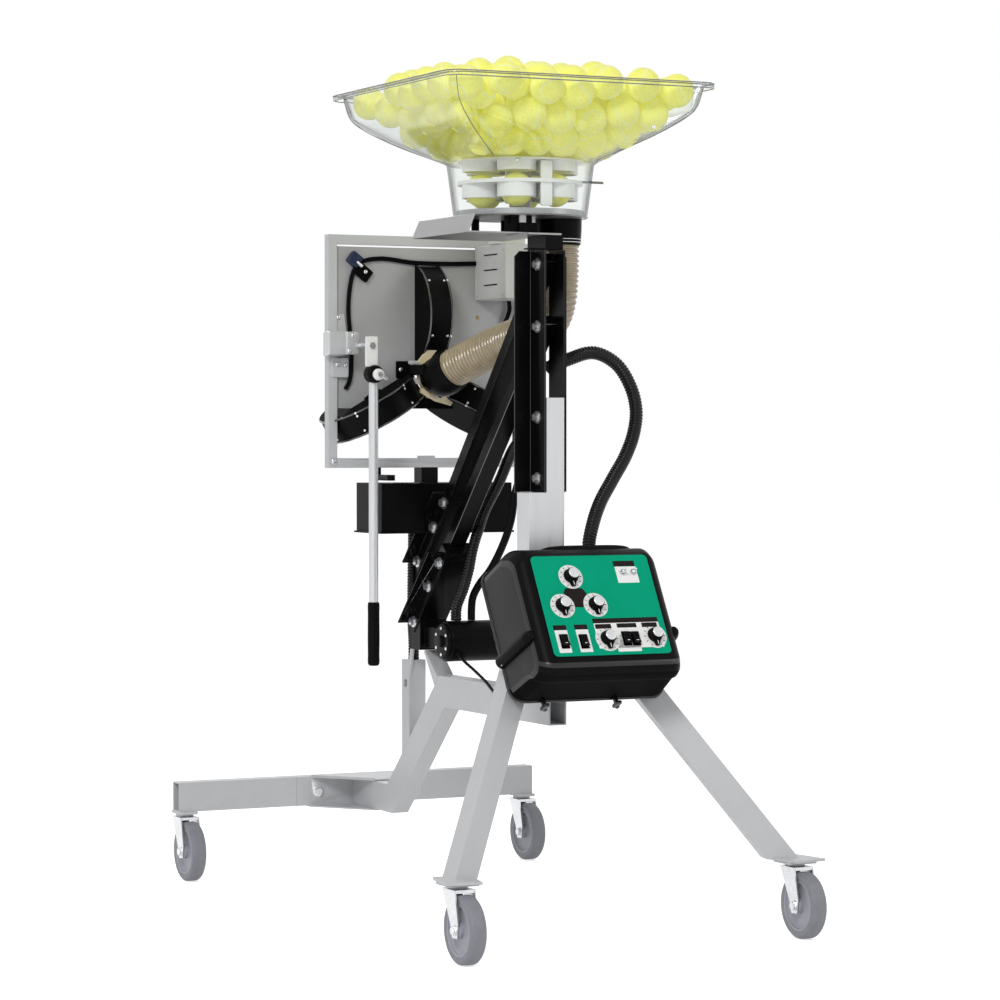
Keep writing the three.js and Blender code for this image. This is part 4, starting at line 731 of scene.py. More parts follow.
def ball_felt():
    """Fuzzy felt with a painted glow that makes the balls look brighter, and a pale seam where z = k x y on
    the ball's own unit sphere; the difference is divided by the length of its slope, so the seam keeps one
    width."""
    made = bpy.data.materials.get("ball_felt")
    if made:
        return made
    made = bpy.data.materials.new("ball_felt")
    made.use_nodes = True
    tree = made.node_tree
    shader = tree.nodes["Principled BSDF"]
    shader.inputs["Roughness"].default_value = 0.85
    shader.inputs["Sheen Weight"].default_value = 0.35
    shader.inputs["Sheen Roughness"].default_value = 0.5
    shader.inputs["Specular IOR Level"].default_value = 0.2
    own = node(tree, "ShaderNodeAttribute", attribute_name="ball_place")
    split = node(tree, "ShaderNodeSeparateXYZ")
    link(tree, own, "Vector", split, "Vector")
    x, y, z = split.outputs

    def sum_of(kind, first, second):
        made_node = node(tree, "ShaderNodeMath", operation=kind)
        for place_number, value in enumerate((first, second)):
            if isinstance(value, float):
                made_node.inputs[place_number].default_value = value
            else:
                tree.links.new(value, made_node.inputs[place_number])
        return made_node.outputs[0]

    bend = 4.2
    product = sum_of("MULTIPLY", sum_of("MULTIPLY", x, y), bend)
    gap = sum_of("ABSOLUTE", sum_of("SUBTRACT", z, product), 0.0)
    flat = sum_of("ADD", sum_of("MULTIPLY", x, x), sum_of("MULTIPLY", y, y))
    slope = sum_of("SQRT", sum_of("ADD", sum_of("MULTIPLY", flat, bend * bend), 1.0), 0.0)
    seam = sum_of("DIVIDE", gap, slope)
    ramp = node(tree, "ShaderNodeMapRange", interpolation_type="SMOOTHSTEP")
    ramp.inputs["From Min"].default_value = 0.02
    ramp.inputs["From Max"].default_value = 0.075
    tree.links.new(seam, ramp.inputs["Value"])
    fuzz = node(tree, "ShaderNodeTexNoise", Scale=11.0, Detail=6.0, Roughness=0.75)
    link(tree, own, "Vector", fuzz, "Vector")
    felt = node(tree, "ShaderNodeValToRGB")
    base = colours().ball
    felt.color_ramp.elements[0].position = 0.35
    felt.color_ramp.elements[1].position = 0.68
    felt.color_ramp.elements[0].color = spread([base[0] * 0.86, base[1] * 0.87, base[2] * 0.6])
    felt.color_ramp.elements[1].color = spread(
        [min(base[0] * 1.12, 1), min(base[1] * 1.08, 1), base[2] * 1.6]
    )
    link(tree, fuzz, "Fac", felt, "Fac")
    join = node(tree, "ShaderNodeMix", data_type="RGBA")
    for socket in join.inputs:
        if socket.name == "B" and socket.type == "RGBA":
            tree.links.new(felt.outputs["Color"], socket)
        if socket.name == "A" and socket.type == "RGBA":
            socket.default_value = (0.84, 0.9, 0.45, 1)
    link(tree, ramp, "Result", join, "Factor")
    mixed = [socket for socket in join.outputs if socket.type == "RGBA"][0]
    tree.links.new(mixed, shader.inputs["Base Color"])
    # The felt's colour also feeds the emission: a painted glow that brightens the balls, though they are no
    # lamp
    tree.links.new(mixed, shader.inputs["Emission Color"])
    shader.inputs["Emission Strength"].default_value = 0.12
    bump = node(tree, "ShaderNodeBump", Strength=0.5, Distance=0.0012)
    link(tree, fuzz, "Fac", bump, "Height")
    link(tree, bump, "Normal", shader, "Normal")
    return made


# Routes, the same as the solids'

HOSE_PATH = [
    (84, -172, 1364.7), (84, -172, 1322), (84, -170, 1270), (83, -162, 1222), (80, -138, 1186),
    (71, -75, 1163), (56, 16, 1144), (32, 98, 1118), (12, 155, 1097), (2, 178, 1084), (0, 190, 1080),
    (0, 199.2, 1080),
]
CONTROL_CONDUIT = [
    (24, -242.8, 1088), (66, -242.8, 1104), (126, -243, 1119), (175, -246, 1097), (204, -252, 1052),
    (211, -262, 1006), (199, -275, 962), (172, -292, 917), (129, -315, 868), (90, -338, 824),
    (64, -357, 782), (50, -368.53, 740.82), (50, -382.03, 717.44),
]
ARM_CONDUIT = [
    (6, -271.7, 975), (6, -245, 975), (24, -150, 958), (38, -60, 926), (48, 20, 864), (46, 90, 797),
    (45, 110, 767), (31, 101, 741), (20, 94, 714), (12, 92, 680), (2, 97, 640), (-7, 108, 606),
    (-8, 111, 592), (-8, 111, 574.4),
]
LOOP_CABLE = [
    (8, -271.7, 930), (8, -250, 930), (40, -120, 900), (66, -30, 862), (71, 0, 830), (70, 10, 790),
    (67, 25, 755), (63, 60, 708), (55, 85, 675), (42, 102, 650), (30, 110, 622), (27, 111, 594),
    (27, 111, 574.4),
]
FRONT_CONDUIT = [
    (-16, 306, 752.6), (-16, 306, 728), (-16, 309, 640), (-10, 322, 570), (0, 339, 518), (0, 339, 480.4),
]
POWER_CABLE = [
    (-23, 74.2, 510.8), (-23, 68, 507), (-22, 40, 494), (-22, -6, 479), (-24, -66, 459), (-30, -105, 447),
    (-31, -122, 442), (-26, -126, 441), (-19.4, -126, 441),
]


class MachinePiece:
    """What the piece operators share."""

    bl_options = {"REGISTER", "UNDO"}


# Base


def outside_of(axis, value, sign=1):
    """A test for faces whose middle lies beyond a value along an axis."""
    return lambda middles, normals: sign * middles[:, axis] > sign * value


class MACHINE_OT_base(MachinePiece, bpy.types.Operator):
    """Grey steel base: cross beam, receiver, bent spine, front support and rear legs"""

    bl_idname = "machine.base"
    bl_label = "Base"

    def execute(self, context):
        edge = sizes().tube_edge
        grey, bolt = "grey_coat", "zinc"
        bolts = [(lambda m, n: (m[:, 1] < 623.2) & (np.abs(np.abs(m[:, 0]) - 101) < 14) & (m[:, 2] > 150), 1)]
        dressed("front_receiver", [grey, bolt], sizes().sheet_edge * 2, bolts)
        for side in ("right", "left"):
            dressed("front_beam_" + side, [grey], sizes().sheet_edge * 2)
            dressed("rear_leg_" + side, [grey], edge)
        dressed("base_spine", [grey], edge)
        dressed("front_support", [grey], edge)
        self.welds(grey)
        return {"FINISHED"}

    def welds(self, grey):
        """Beads along the joints: a small tube whose radius is r (1 + 0.22 |sin(pi s / pitch)|)."""
        seams = [
            ((-116, 622, 212), (-19.6, 502, 212)),
            ((19.6, 502, 212), (116, 622, 212)),
            ((-18, 434, 207.5), (18, 434, 207.5)),
            ((-19.4, 181, 448), (19.4, 181, 448)),
            ((-19.4, 147, 392.4), (19.4, 147, 392.4)),
        ]
        shape = Shape()
        for start, end in seams:
            line = even(np.array([start, end], float), 60)
            ripple = 1.9 * (1 + 0.22 * np.abs(np.sin(np.arange(60) * 0.9)))
            shape.add(capped(sections(line, ripple, 8, Z)))
        shape.piece("base_weld_beads", [grey], "base_spine", extra=None)


# Each caster's swivel axis (x, y)
CASTERS = {
    "rear_left": (-356, -632),
    "rear_right": (356, -632),
    "front_left": (-405, 640),
    "front_right": (405, 640),
}


class MACHINE_OT_casters(MachinePiece, bpy.types.Operator):
    """Four swivel casters: plated forks and grey wheels with a moulded core"""

    bl_idname = "machine.casters"
    bl_label = "Casters"

    def execute(self, context):
        for name, (x, y) in CASTERS.items():
            dressed("caster_fork_" + name, ["zinc"], 0.0012, segments=3)
            self.swivel(name, x, y)
            self.wheel(name, x, y - 32)
        return {"FINISHED"}

    def swivel(self, name, x, y):
        """The ball race over the fork and the axle nuts, turned from profiles."""
        race = [(0, 121), (9, 121), (10, 125), (17, 129.4), (0, 129.4)]
        shape = Shape().add(turned(rounded_profile(race, 1.5), (x, y, 0)))
        for side in (-1, 1):
            shape.add(hex_head((x + side * 21.6, y - 32, 63.5), X * side, 8.5, 5.5))
            shape.add(
                turned(
                    [(0, 0), (10.5, 0), (10.5, 1.4), (0, 1.4)], (x + side * 21.4, y - 32, 63.5), X * side, 24
                )
            )
        shape.piece("caster_swivel_" + name, ["zinc"], "caster_fork_" + name, extra=None)

    def wheel(self, name, x, y):
        """Tread and core as turned profiles; the core has a dished web and a bearing boss."""
        tread = [(49, -15), (59, -15.5), (63.2, -11), (63.5, 0), (63.2, 11), (59, 15.5), (49, 15), (47.5, 13)]
        tread += [(47.5, -13), (49, -15)]
        core = [
            (5.4, -17.6), (13.5, -17.6), (15, -16), (15.5, -9), (20, -7.6), (40, -7.6), (43.5, -10),
            (45, -14.4)
        ]
        core += [
            (48.4, -14.6), (48.4, 14.6), (45, 14.4), (43.5, 10), (40, 7.6), (20, 7.6), (15.5, 9), (15, 16)
        ]
        core += [(13.5, 17.6), (5.4, 17.6)]
        shape = Shape()
        shape.add(turned(rounded_profile(tread, 1.6, 3), (x, y, 63.5), X, 64)[:-1], 0, looped=True)
        shape.add(turned(core, (x, y, 63.5), X, 48), 1, looped=True)
        shape.piece(
            "caster_wheel_" + name + "_dressed", ["tread_grey", "core_grey"], "caster_wheel_" + name, 30
        )


# Mast


class MACHINE_OT_mast(MachinePiece, bpy.types.Operator):
    """Mast post, black angles, the two arms, the front upright, tray and its bracket"""

    bl_idname = "machine.mast"
    bl_label = "Mast"

    def execute(self, context):
        sheet = sizes().sheet_edge
        black, bolt = "black_coat", "zinc"
        dressed("mast_post", ["silver_tube"], 0.0015, segments=3)
        angle_bolts = [
            (lambda m, n: (np.abs(m[:, 0]) > 22.4) & (m[:, 1] < -270) & (np.abs(m[:, 1] + 290) < 13.5), 1)
        ]
        for side in ("right", "left"):
            # The rounded edges take the lighter, glossier black: a painted highlight along them
            dressed("mast_angle_" + side, [black, bolt], sheet * 1.4, angle_bolts, rim="edge_highlight_black")
        arm_bolts = [(self.on_bolt([(141, 816), (190, 765), (268, 691)], 22.4), 1)]
        dressed("upper_arm", [black, bolt], sheet * 2, arm_bolts, rim="edge_highlight_black")
        dressed("lower_arm", [black], sheet * 2, rim="edge_highlight_black")
        low_bolts = [(self.on_bolt([(141, 692), (196, 642), (268, 565)], 32.1), 1)]
        dressed("front_mast", [black, bolt], sheet * 2, low_bolts, rim="edge_highlight_black")
        self.bracket()
        dressed("feeder_tray", ["tray_metal"], sheet)
        return {"FINISHED"}

    def bracket(self):
        """The tray's bracket: a thin head plate, a dark post on the mast and a foot beside it."""
        shape = Shape()
        shape.add(plate([(-57, -322), (14, -322), (14, -222), (-57, -222)], 1344, 1347.6, level, 0.5), 0)
        shape.add(plate([(-19, -318), (19, -318), (19, -240), (-19, -240)], 1315.2, 1344.2, level, 0.8), 1)
        shape.add(plate([(-57, -322), (-19, -322), (-19, -300), (-57, -300)], 1315.2, 1318, level, 0.5), 1)
        shape.piece("tray_bracket_dressed", ["tray_metal", "black_coat"], "tray_bracket")

    def on_bolt(self, spots, half):
        """A test for faces within a bolt head's radius of a spot (y, z) and beyond a half-width."""
        def test(middles, normals):
            near = [np.hypot(middles[:, 1] - y, middles[:, 2] - z) < 12.6 for y, z in spots]
            return np.any(near, axis=0) & (np.abs(middles[:, 0]) > half)

        return test


class MACHINE_OT_drives(MachinePiece, bpy.types.Operator):
    """Power unit across the rail and the oscillation box with its crank"""

    bl_idname = "machine.drives"
    bl_label = "Drives"

    def execute(self, context):
        self.power_unit()
        marks = [(lambda m, n: (np.hypot(m[:, 0] + 119, m[:, 1] - 200) < 9) & (m[:, 2] > 808.5), 1)]
        marks.append((lambda m, n: (m[:, 2] > 836) & (m[:, 2] < 848) & (np.abs(m[:, 0] + 119) < 14.5), 1))
        dressed("oscillation_box", ["moulded_black", "zinc"], 0.0022, marks, segments=3)
        return {"FINISHED"}

    def power_unit(self):
        """Drum, end cap and hub as one turned profile each, with a ring of small screws on the cap."""
        at = np.array([0, 111, 532])
        shape = Shape()
        cap = [(0, -48), (10, -48), (12.5, -46), (12.5, -42), (33, -42), (37.5, -39), (38, -34), (0, -34)]
        shape.add(turned(rounded_profile(cap, 2.0), at, X, 64), 0)
        drum = [(0, -34.5), (39.5, -34.5), (41.8, -31), (41.8, 164), (38, 169.8), (0, 169.8)]
        shape.add(turned(rounded_profile(drum, 3.0), at, X, 96), 0)
        for sixth in range(6):
            angle = math.pi / 3 * (sixth + 0.5)
            spot = at + np.array([-42, 27 * math.cos(angle), 27 * math.sin(angle)])
            shape.add(screw(spot, -X, 3.6, 2.4), 1)
        arm = [(-18.6, 140), (18.6, 140), (18.6, 239.4), (-18.6, 239.4)]
        shape.add(plate(arm, 512.2, 555.8, level, 1.2), 0)
        shape.piece("power_unit_dressed", ["smooth_black", "zinc"], "power_unit")


# Head


class MACHINE_OT_head_frame(MachinePiece, bpy.types.Operator):
    """Yawing tube frame with its drag link and the two pitch brackets"""

    bl_idname = "machine.head_frame"
    bl_label = "Head frame"

    def execute(self, context):
        grey, silver, bolt = "grey_coat", "silver_tube", "zinc"
        marks = [(lambda m, n: (m[:, 1] < 264) & (m[:, 2] < 880), 1), (outside_of(2, 887.9, -1), 1)]
        dressed("head_frame", [grey, "black_coat"], 0.0018, marks, segments=3)
        screw_marks = [(lambda m, n: m[:, 1] < 242.8, 1)]
        for side in ("right", "left"):
            dressed("pitch_bracket_" + side, [silver, bolt], 0.0008, screw_marks)
        self.hinge_box(silver, bolt)
        shape = Shape()
        for x in (-200, 200):
            shape.add(turned([(0, 0), (9.5, 0), (9.5, 1.2), (0, 1.2)], (x * 1.08, 266, 902), -Y, 24))
            shape.add(screw((x * 1.08, 264.9, 902), -Y, 5.2, 3.4))
        shape.piece("head_frame_fasteners", [bolt], "head_frame", extra=None)
        return {"FINISHED"}

    def hinge_box(self, silver, bolt):
        """The silver box over the left pitch hinge: a broad block, a stepped block and two screws."""
        shape = Shape()
        shape.add(pad((-222, 236, 1146), (21, 9, 24.5), 16), 0)
        shape.add(pad((-192, 233, 1146), (12, 10, 23.5), 16), 0)
        shape.add(pad((-176.5, 237, 1146), (4, 5, 22), 14), 0)
        for x, z in ((-190, 1162), (-198, 1130)):
            shape.add(screw((x, 223.2, z), -Y, 4.6, 3.2), 1)
        shape.piece("hinge_box", [silver, bolt], "head_frame", extra=None)


# Where the three wheels stand round the throw line, its height, and the top wheel's middle
TURNS = (90, 210, 330)
THROW_Z = 1080.0
THROWER = np.array([0, 307, THROW_Z + 128])


def from_throw_line(middles):
    """How far face middles lie from the line that the balls are thrown along."""
    return np.hypot(middles[:, 0], middles[:, 2] - THROW_Z)


def spoke(points, degrees):
    """Turns points drawn at the top place about the throw line: a rotation by (90 - degrees) about y."""
    angle = math.radians(90 - degrees)
    c, s = math.cos(angle), math.sin(angle)
    turn = np.array([[c, 0, s], [0, 1, 0], [-s, 0, c]])
    centre = np.array([0, 0, THROW_Z])
    return (np.asarray(points, float) - centre) @ turn.T + centre


class MACHINE_OT_throwers(MachinePiece, bpy.types.Operator):
    """Head plate, feed ring, three housings with motors and the three throwing wheels"""

    bl_idname = "machine.throwers"
    bl_label = "Throwing head"

    def execute(self, context):
        grey, cream, black = "head_coat", "cream_lining", "smooth_black"
        ring = [
            (lambda m, n: (from_throw_line(m) < 48) & (m[:, 1] < 222.4), 1),
            (lambda m, n: (from_throw_line(m) < 39) & (m[:, 1] > 222.2) & (m[:, 1] < 241), 2),
        ]
        dressed("head_plate", [grey, black, cream], sizes().sheet_edge, ring)
        for number, degrees in enumerate(TURNS, 1):
            self.housing(number, degrees)
            self.wheel(number, degrees)
        self.throat()
        return {"FINISHED"}

    def throat(self):
        """Rubber boot over the hose's end, its strap, and the cream guides between the housings."""
        line = smooth_path(HOSE_PATH, HOSE_RIBS * RIB_STEPS + 1)[425:462]
        swell = 42.6 + 2.6 * np.sin(np.linspace(0.15, 1, len(line)) * np.pi) ** 0.5
        boot = sections(line, swell, 48, X)
        inner = sections(line, 41.6, 48, X)
        shape = Shape().add(np.concatenate([boot, inner[::-1]]), 0, looped=True)
        shape.add(pad((-58, 267, 1093), (15, 2.5, 18), 20), 0)
        shape.add(pad((-33, 226, 1092), (16, 34, 11), 16), 0)
        shape.add(screw((-63, 264.6, 1093), -Y, 5, 3), 2)
        lean = np.array([-0.64, 0, -0.77])
        across_lean = np.array([0.77, 0, -0.64])
        shape.add(pad((-17, 232, 1123), (26, 8.5, 5), 18, (lean, across_lean, Y)), 1)
        for spot in ((-19, 226, 1146), (-12, 226, 1141)):
            shape.add(screw(spot, -Y, 3.2, 3), 2)
        guide = [(-33, 1053), (-33, 1044), (2, 1027), (37, 1018), (56, 1044), (40, 1055), (0, 1060)]
        shape.add(plate(guide, 231, 237, standing, 0.8), 1)
        skirt = [(-40, 1046), (57, 1046), (60, 1011.6), (-44, 1011.6)]
        shape.add(plate(skirt, 270, 272.8, standing, 0.6), 5)
        shape.add(pad((-47, 240, 1069), (16, 4, 6), 18), 3)
        shape.add(pad((-47, 240, 1108), (9, 4, 3.5), 18), 3)
        shape.add(screw((119, 273, 1205), -Y, 4, 3), 4)
        finishes = ["rubber", "cream_lining", "zinc", "grey_coat", "dull_brass", "matt_black"]
        shape.piece("throat_fittings", finishes, "head_plate", extra=None)

    def housing(self, number, degrees):
        """The solid with softened edges, and on it two beads, three rows of screws and a flange."""
        axis = spoke(np.array([1, 0, THROW_Z]), degrees) - spoke(np.array([0, 0, THROW_Z]), degrees)

        def rim(middles, normals):
            return np.abs(normals @ axis) < 0.6

        name = f"wheel_housing_{number}"
        dressed(name, ["matt_black", "moulded_black"], 0.0028, [(rim, 1)], segments=3, rim="smooth_black")
        shape = Shape()
        side = -1 if degrees == TURNS[2] else 1
        angle = np.radians(np.linspace(-48, 230, 90))
        # The beads take the lighter, glossier black: a painted highlight along them
        for face in (-1, 1):
            bead = [
                np.full(90, face * 24.4), THROWER[1] + 110.4 * np.cos(angle),
                THROWER[2] + 110.4 * np.sin(angle)
            ]
            shape.add(spoke(capped(sections(np.stack(bead, axis=1), 2.1, 10, X)), degrees), 1)
        for step in (100, 140, 204):
            out = np.array([0, math.cos(math.radians(step)), math.sin(math.radians(step))])
            for x in (-17, 17, 24.4):
                spot = (x, 0, 0) + THROWER + (110 if abs(x) < 20 else 112) * out
                shape.add(spoke(screw(spot, out, 2.8, 2.2), degrees), 2)
        foot = (side * 27.0, 0, 0) + THROWER
        flange = [(0, 0), (40, 0), (40, 4), (33, 6), (0, 6)]
        shape.add(spoke(turned(rounded_profile(flange, 1.5), foot, X * side, 40), degrees))
        shape.piece(f"housing_trim_{number}", ["smooth_black", "edge_highlight_black", "zinc"], name, extra=None)

    def wheel(self, number, degrees):
        """A tyre with shallow tread ripples on a dished core, both turned about the wheel's axle."""
        tyre = [
            (81, -18.6), (91, -18.6), (94.4, -15), (94.4, 15), (91, 18.6), (81, 18.6), (79.5, 16), (79.5, -16)
        ]
        core = [(9.5, -18.8), (21, -18.8), (22, -17), (22, -9.2), (78, -9.2), (80, -14), (80, 14), (78, 9.2)]
        core += [(22, 9.2), (22, 17), (21, 18.8), (9.5, 18.8)]
        shape = Shape()
        shape.add(spoke(turned(tyre, THROWER, X, 96, 48, 0.006), degrees), 0, looped=True)
        shape.add(spoke(turned(core, THROWER, X, 40), degrees), 1, looped=True)
        shape.piece(f"throwing_wheel_{number}_dressed", ["rubber", "core_grey"], f"throwing_wheel_{number}")


class MACHINE_OT_head_fittings(MachinePiece, bpy.types.Operator):
    """Louvred box with its terminal block, and the aiming lever with its link"""

    bl_idname = "machine.head_fittings"
    bl_label = "Head fittings"

    def execute(self, context):
        shape = Shape()
        corners = np.array([(112.5, 125), (190, 125), (190, 272.4), (112.5, 272.4)])
        shape.add(plate(corners, 1241, 1354, level, 0.8), 0)
        shape.add(pad((141, 178, 1364), (33, 26, 9.5), 14), 1)
        for z in (1333.5, 1302, 1270.5):
            # A thin black strip in each slit: painted shade for the dark behind the louvre's opening
            shape.add(pad((112.3, 196, z), (0.5, 32, 1.3), 8), 2)
            lip = sections(
                even(np.array([[111.8, 164, z + 2.6], [111.8, 228, z + 2.6]], float), 24), 1.2, 10, Z
            )
            shape.add(capped(lip), 0)
        for y, z in ((137, 1342), (262, 1250), (137, 1250)):
            shape.add(screw((112.4, y, z), -X, 2.6, 1.5), 3)
        shape.piece(
            "louvre_box_dressed", ["pale_sheet", "white_plastic", "dark_inside", "zinc"], "louvre_box"
        )
        self.plate_cable()
        self.lever()
        return {"FINISHED"}

    def plate_cable(self):
        """Two-strand cable over the plate with its clip and connector, and a short tail to the hose."""
        route = [
            (114, 268, 1318.7), (45, 268, 1316.4), (-32, 268, 1317.2), (-108, 267.5, 1324), (-151, 266, 1316)
        ]
        route += [(-168.4, 266, 1299), (-177.5, 267, 1265), (-181.4, 267, 1215), (-178.5, 267, 1176)]
        route += [(-175, 267, 1140), (-174.5, 267, 1104), (-178.6, 267, 1070), (-186.7, 270, 1051)]
        line = smooth_path(route, 180)
        aside = np.cross(np.gradient(line, axis=0), Y)
        aside /= np.linalg.norm(aside, axis=1, keepdims=True)
        shape = Shape()
        for side in (-2.3, 2.3):
            shape.add(capped(sections(line + side * aside, 2.5, 12, Y)), 0)
        tail = smooth_path([(186.5, 262, 1246), (188.9, 262, 1224), (183, 262, 1205), (176, 264, 1190)], 40)
        for side in (-2.4, 2.4):
            shape.add(capped(sections(tail + (side, 0, 0), 2.5, 12, Y)), 0)
        lean = np.array([0.80, 0, -0.60])
        up = np.array([0.60, 0, 0.80])
        shape.add(pad((-149, 266, 1295), (14, 3, 19), 12, (up, Y, lean)), 1)
        shape.add(pad((-169, 264, 1321), (13, 8, 13), 12, (lean, Y, up)), 2)
        shape.add(pad((-160, 262, 1311), (2.4, 7, 8), 12, (up, Y, lean)), 3)
        shape.add(screw((-144.2, 263, 1295.6), -Y, 4.4, 2.6), 4)
        tab = [(-218, 1205), (-190, 1208), (-184, 1170), (-212, 1168)]
        shape.add(plate(tab, 269, 272, standing, 0.6), 5)
        shape.add(screw((-203.2, 269, 1199.3), -Y, 5, 3.4), 4)
        shape.add(pad((-202, 266, 1096), (19, 4, 20), 14), 5)
        shape.add(screw((-208.5, 262, 1102.8), -Y, 5, 3.4), 4)
        shape.add(screw((-190, 262, 1101), -Y, 4, 3), 4)
        finishes = ["rubber", "smooth_black", "dark_blue_connector", "white_plastic", "zinc", "grey_coat"]
        shape.piece("plate_cable", finishes, "head_plate", extra=None)

    def lever(self):
        """Stem and grip turned about the lever's line, a flat link bar with its bolt to the hinge, and a
        rubber ring with a boss and a wing nut, turned about the line across."""
        at = np.array([-172, 160, 0])
        stem = [(0, 612), (9.7, 612), (9.7, 1064), (8, 1069), (0, 1069)]
        grip = [
            (0, 483), (9, 483), (12, 486.5), (12.5, 492), (12.1, 505), (12.5, 540), (12.1, 590), (12.5, 606)
        ]
        grip += [(11.6, 613.6), (0, 613.6)]
        shape = Shape()
        shape.add(turned(rounded_profile(stem, 1.5), at, Z, 32), 0)
        shape.add(turned(rounded_profile(grip, 2.0), at, Z, 36, 18, 0.03), 1)
        pivot = np.array([-174, 0, 1081])
        ring = [(0, 139), (14, 139), (17.6, 142), (18.4, 147), (18.4, 163), (17, 168), (0, 169)]
        shape.add(turned(rounded_profile(ring, 1.5), pivot, Y, 48), 1)
        boss = [(0, 130), (9, 130), (11.5, 132), (12.2, 139.5), (0, 139.5)]
        shape.add(turned(rounded_profile(boss, 1.0), pivot + (3, 0, -1), Y, 32), 2)
        shape.add(hex_head(pivot + (3, 130.2, -1), -Y, 6.2, 4), 3)
        shape.add(pad(pivot + (15, 133, -7), (8, 2.6, 3.4), 4, (X * 0.8 - Z * 0.6, Y, X * 0.6 + Z * 0.8)), 3)
        shape.add(pad((-179.5, 153, 1127), (13, 3.2, 31), 16), 2)
        shape.add(hex_head((-180, 149.9, 1139.5), -Y, 7.5, 5), 3)
        bolt = [(0, 150), (4.2, 150), (4.2, 213), (0, 213)]
        shape.add(turned(bolt, (-186, 0, 1141), Y, 20), 3)
        shape.add(turned([(0, 190), (7.5, 190), (7.5, 203), (0, 203)], (-186, 0, 1141), Y, 6), 3)
        shape.piece("aim_lever_dressed", ["silver_tube", "rubber", "white_plastic", "zinc"], "aim_lever")


# Feed


def corner_power(square):
    """The power p of |x|^p + |y|^p = 1, from 2 at the round neck to 24 at the square rim."""
    return 2 + 22 * square


def hopper_ring(half_x, half_y, height, square, sides=96):
    """|x / a|^p + |y / b|^p = 1 at a height, with the power from corner_power."""
    angle = 2 * np.pi * (np.arange(sides) + 0.5) / sides
    c, s = np.cos(angle), np.sin(angle)
    power = corner_power(square)
    reach = (np.abs(c) ** power + np.abs(s) ** power) ** (-1 / power)
    return np.stack(
        [half_x * reach * c, HOPPER_Y + half_y * reach * s, np.full(sides, float(height))], axis=1
    )


class MACHINE_OT_hopper(MachinePiece, bpy.types.Operator):
    """Clear hopper with its rim, and the small rod and screws on its neck"""

    bl_idname = "machine.hopper"
    bl_label = "Hopper"

    def execute(self, context):
        self.shell()
        return {"FINISHED"}

    def shell(self):
        """Rings of hopper_ring up the outside and down the inside, closed at the foot and the rim."""
        wall = [
            (132, 132, 1384.4, 0), (134.5, 134.5, 1402, 0), (140.5, 140.5, 1448, 0), (146, 146, 1489, 0),
            (149, 149, 1496, 0.02), (157, 157, 1503, 0.06), (206, 206, 1541, 0.5), (252, 252, 1577, 0.9),
            (261, 261, 1586, 0.95), (264, 264, 1594, 0.97), (273, 273, 1630, 1), (275, 275, 1634.4, 1),
            (280, 279, 1635.6, 1), (287, 285.5, 1635.4, 1), (287.8, 286.3, 1628, 1),
            (289.8, 288.3, 1628, 1), (290, 288.5, 1637, 1), (289.4, 287.9, 1638.6, 1),
            (280, 279, 1639, 1), (274, 274, 1638, 1), (271, 271, 1633, 1), (261, 261, 1594.5, 0.97),
            (258, 258, 1588, 0.95), (249, 249, 1579.5, 0.9), (203, 203, 1543.5, 0.5),
            (154, 154, 1505.5, 0.06), (146, 146, 1498, 0.02), (143, 143, 1490, 0),
            (137.5, 137.5, 1448, 0), (131.5, 131.5, 1402, 0), (129, 129, 1384.4, 0),
        ]
        rings = np.array([hopper_ring(*row) for row in wall])
        shape = Shape().add(rings, looped=True)
        shape.piece("hopper_clear_shell", ["clear_wall"], "hopper_bin", 40)
        trim = Shape()
        # Dark grey tubes along the hopper's corner creases: painted shade where the clear sheet bends
        for sides in ((-1, -1), (1, -1), (-1, 1), (1, 1)):
            edge = [(wall[k][0] * 2 ** (-1 / corner_power(wall[k][3])), wall[k][2]) for k in (4, 6, 7, 9, 10)]
            line = [(side * sides[0], side * sides[1] + HOPPER_Y, height) for side, height in edge]
            trim.add(capped(sections(smooth_path(line, 60), 0.9, 8, X * sides[0] - Y * sides[1])), 1)
        # Dark grey loops along the rim's edges and round the neck's foot: painted shade where the clear sheet
        # is seen edge-on
        loops = [
            (289, 287.5, 1628.5, 1), (274.5, 274.5, 1636.5, 1), (290, 288.5, 1638, 1), (133, 133, 1386, 0)
        ]
        for half_x, half_y, height, square in loops:
            grow, rise = 1.1 * np.cos(circle(8)), 1.1 * np.sin(circle(8))
            grid = [hopper_ring(half_x + a, half_y + a, height + b, square) for a, b in zip(grow, rise)]
            trim.add(np.array(grid), 1, looped=True)
        trim.add(turned([(0, 0), (2.5, 0), (2.5, 52), (0, 52)], (101, -230, 1456), X, 16), 1)
        for angle in (-0.5, 2.2):
            spot = np.array([143 * math.sin(angle), HOPPER_Y - 143 * math.cos(angle), 1490])
            trim.add(screw(spot, (spot - np.array([0, HOPPER_Y, 1490])) / 143, 4, 3), 0)
        trim.add(screw((150, -443, 1549), -Y, 4, 4), 0)
        trim.piece("hopper_trim", ["zinc", "smoky_edge"], "hopper_bin", extra=None)


def quad_ball(steps=6):
    """A cube's faces cut into squares and pushed out to the unit sphere: p / |p|, the face lines at
    tan(45 degrees x) so that the squares stay even."""
    line = np.tan(np.linspace(-1, 1, steps + 1) * np.pi / 4)
    a, b = np.meshgrid(line, line, indexing="ij")
    one = np.ones_like(a)
    faces = [(one, a, b), (-one, b, a), (b, one, a), (a, -one, b), (a, b, one), (b, a, -one)]
    grids = np.array([np.stack(face, axis=-1) for face in faces])
    grids /= np.linalg.norm(grids, axis=-1, keepdims=True)
    index = np.arange(grids.shape[0] * (steps + 1) ** 2).reshape(6, steps + 1, steps + 1)
    corners = [index[:, :-1, :-1], index[:, 1:, :-1], index[:, 1:, 1:], index[:, :-1, 1:]]
    quads = np.stack(corners, axis=-1).reshape(-1, 4)
    points, back = np.unique(np.round(grids.reshape(-1, 3), 6), axis=0, return_inverse=True)
    return points, back.ravel()[quads]


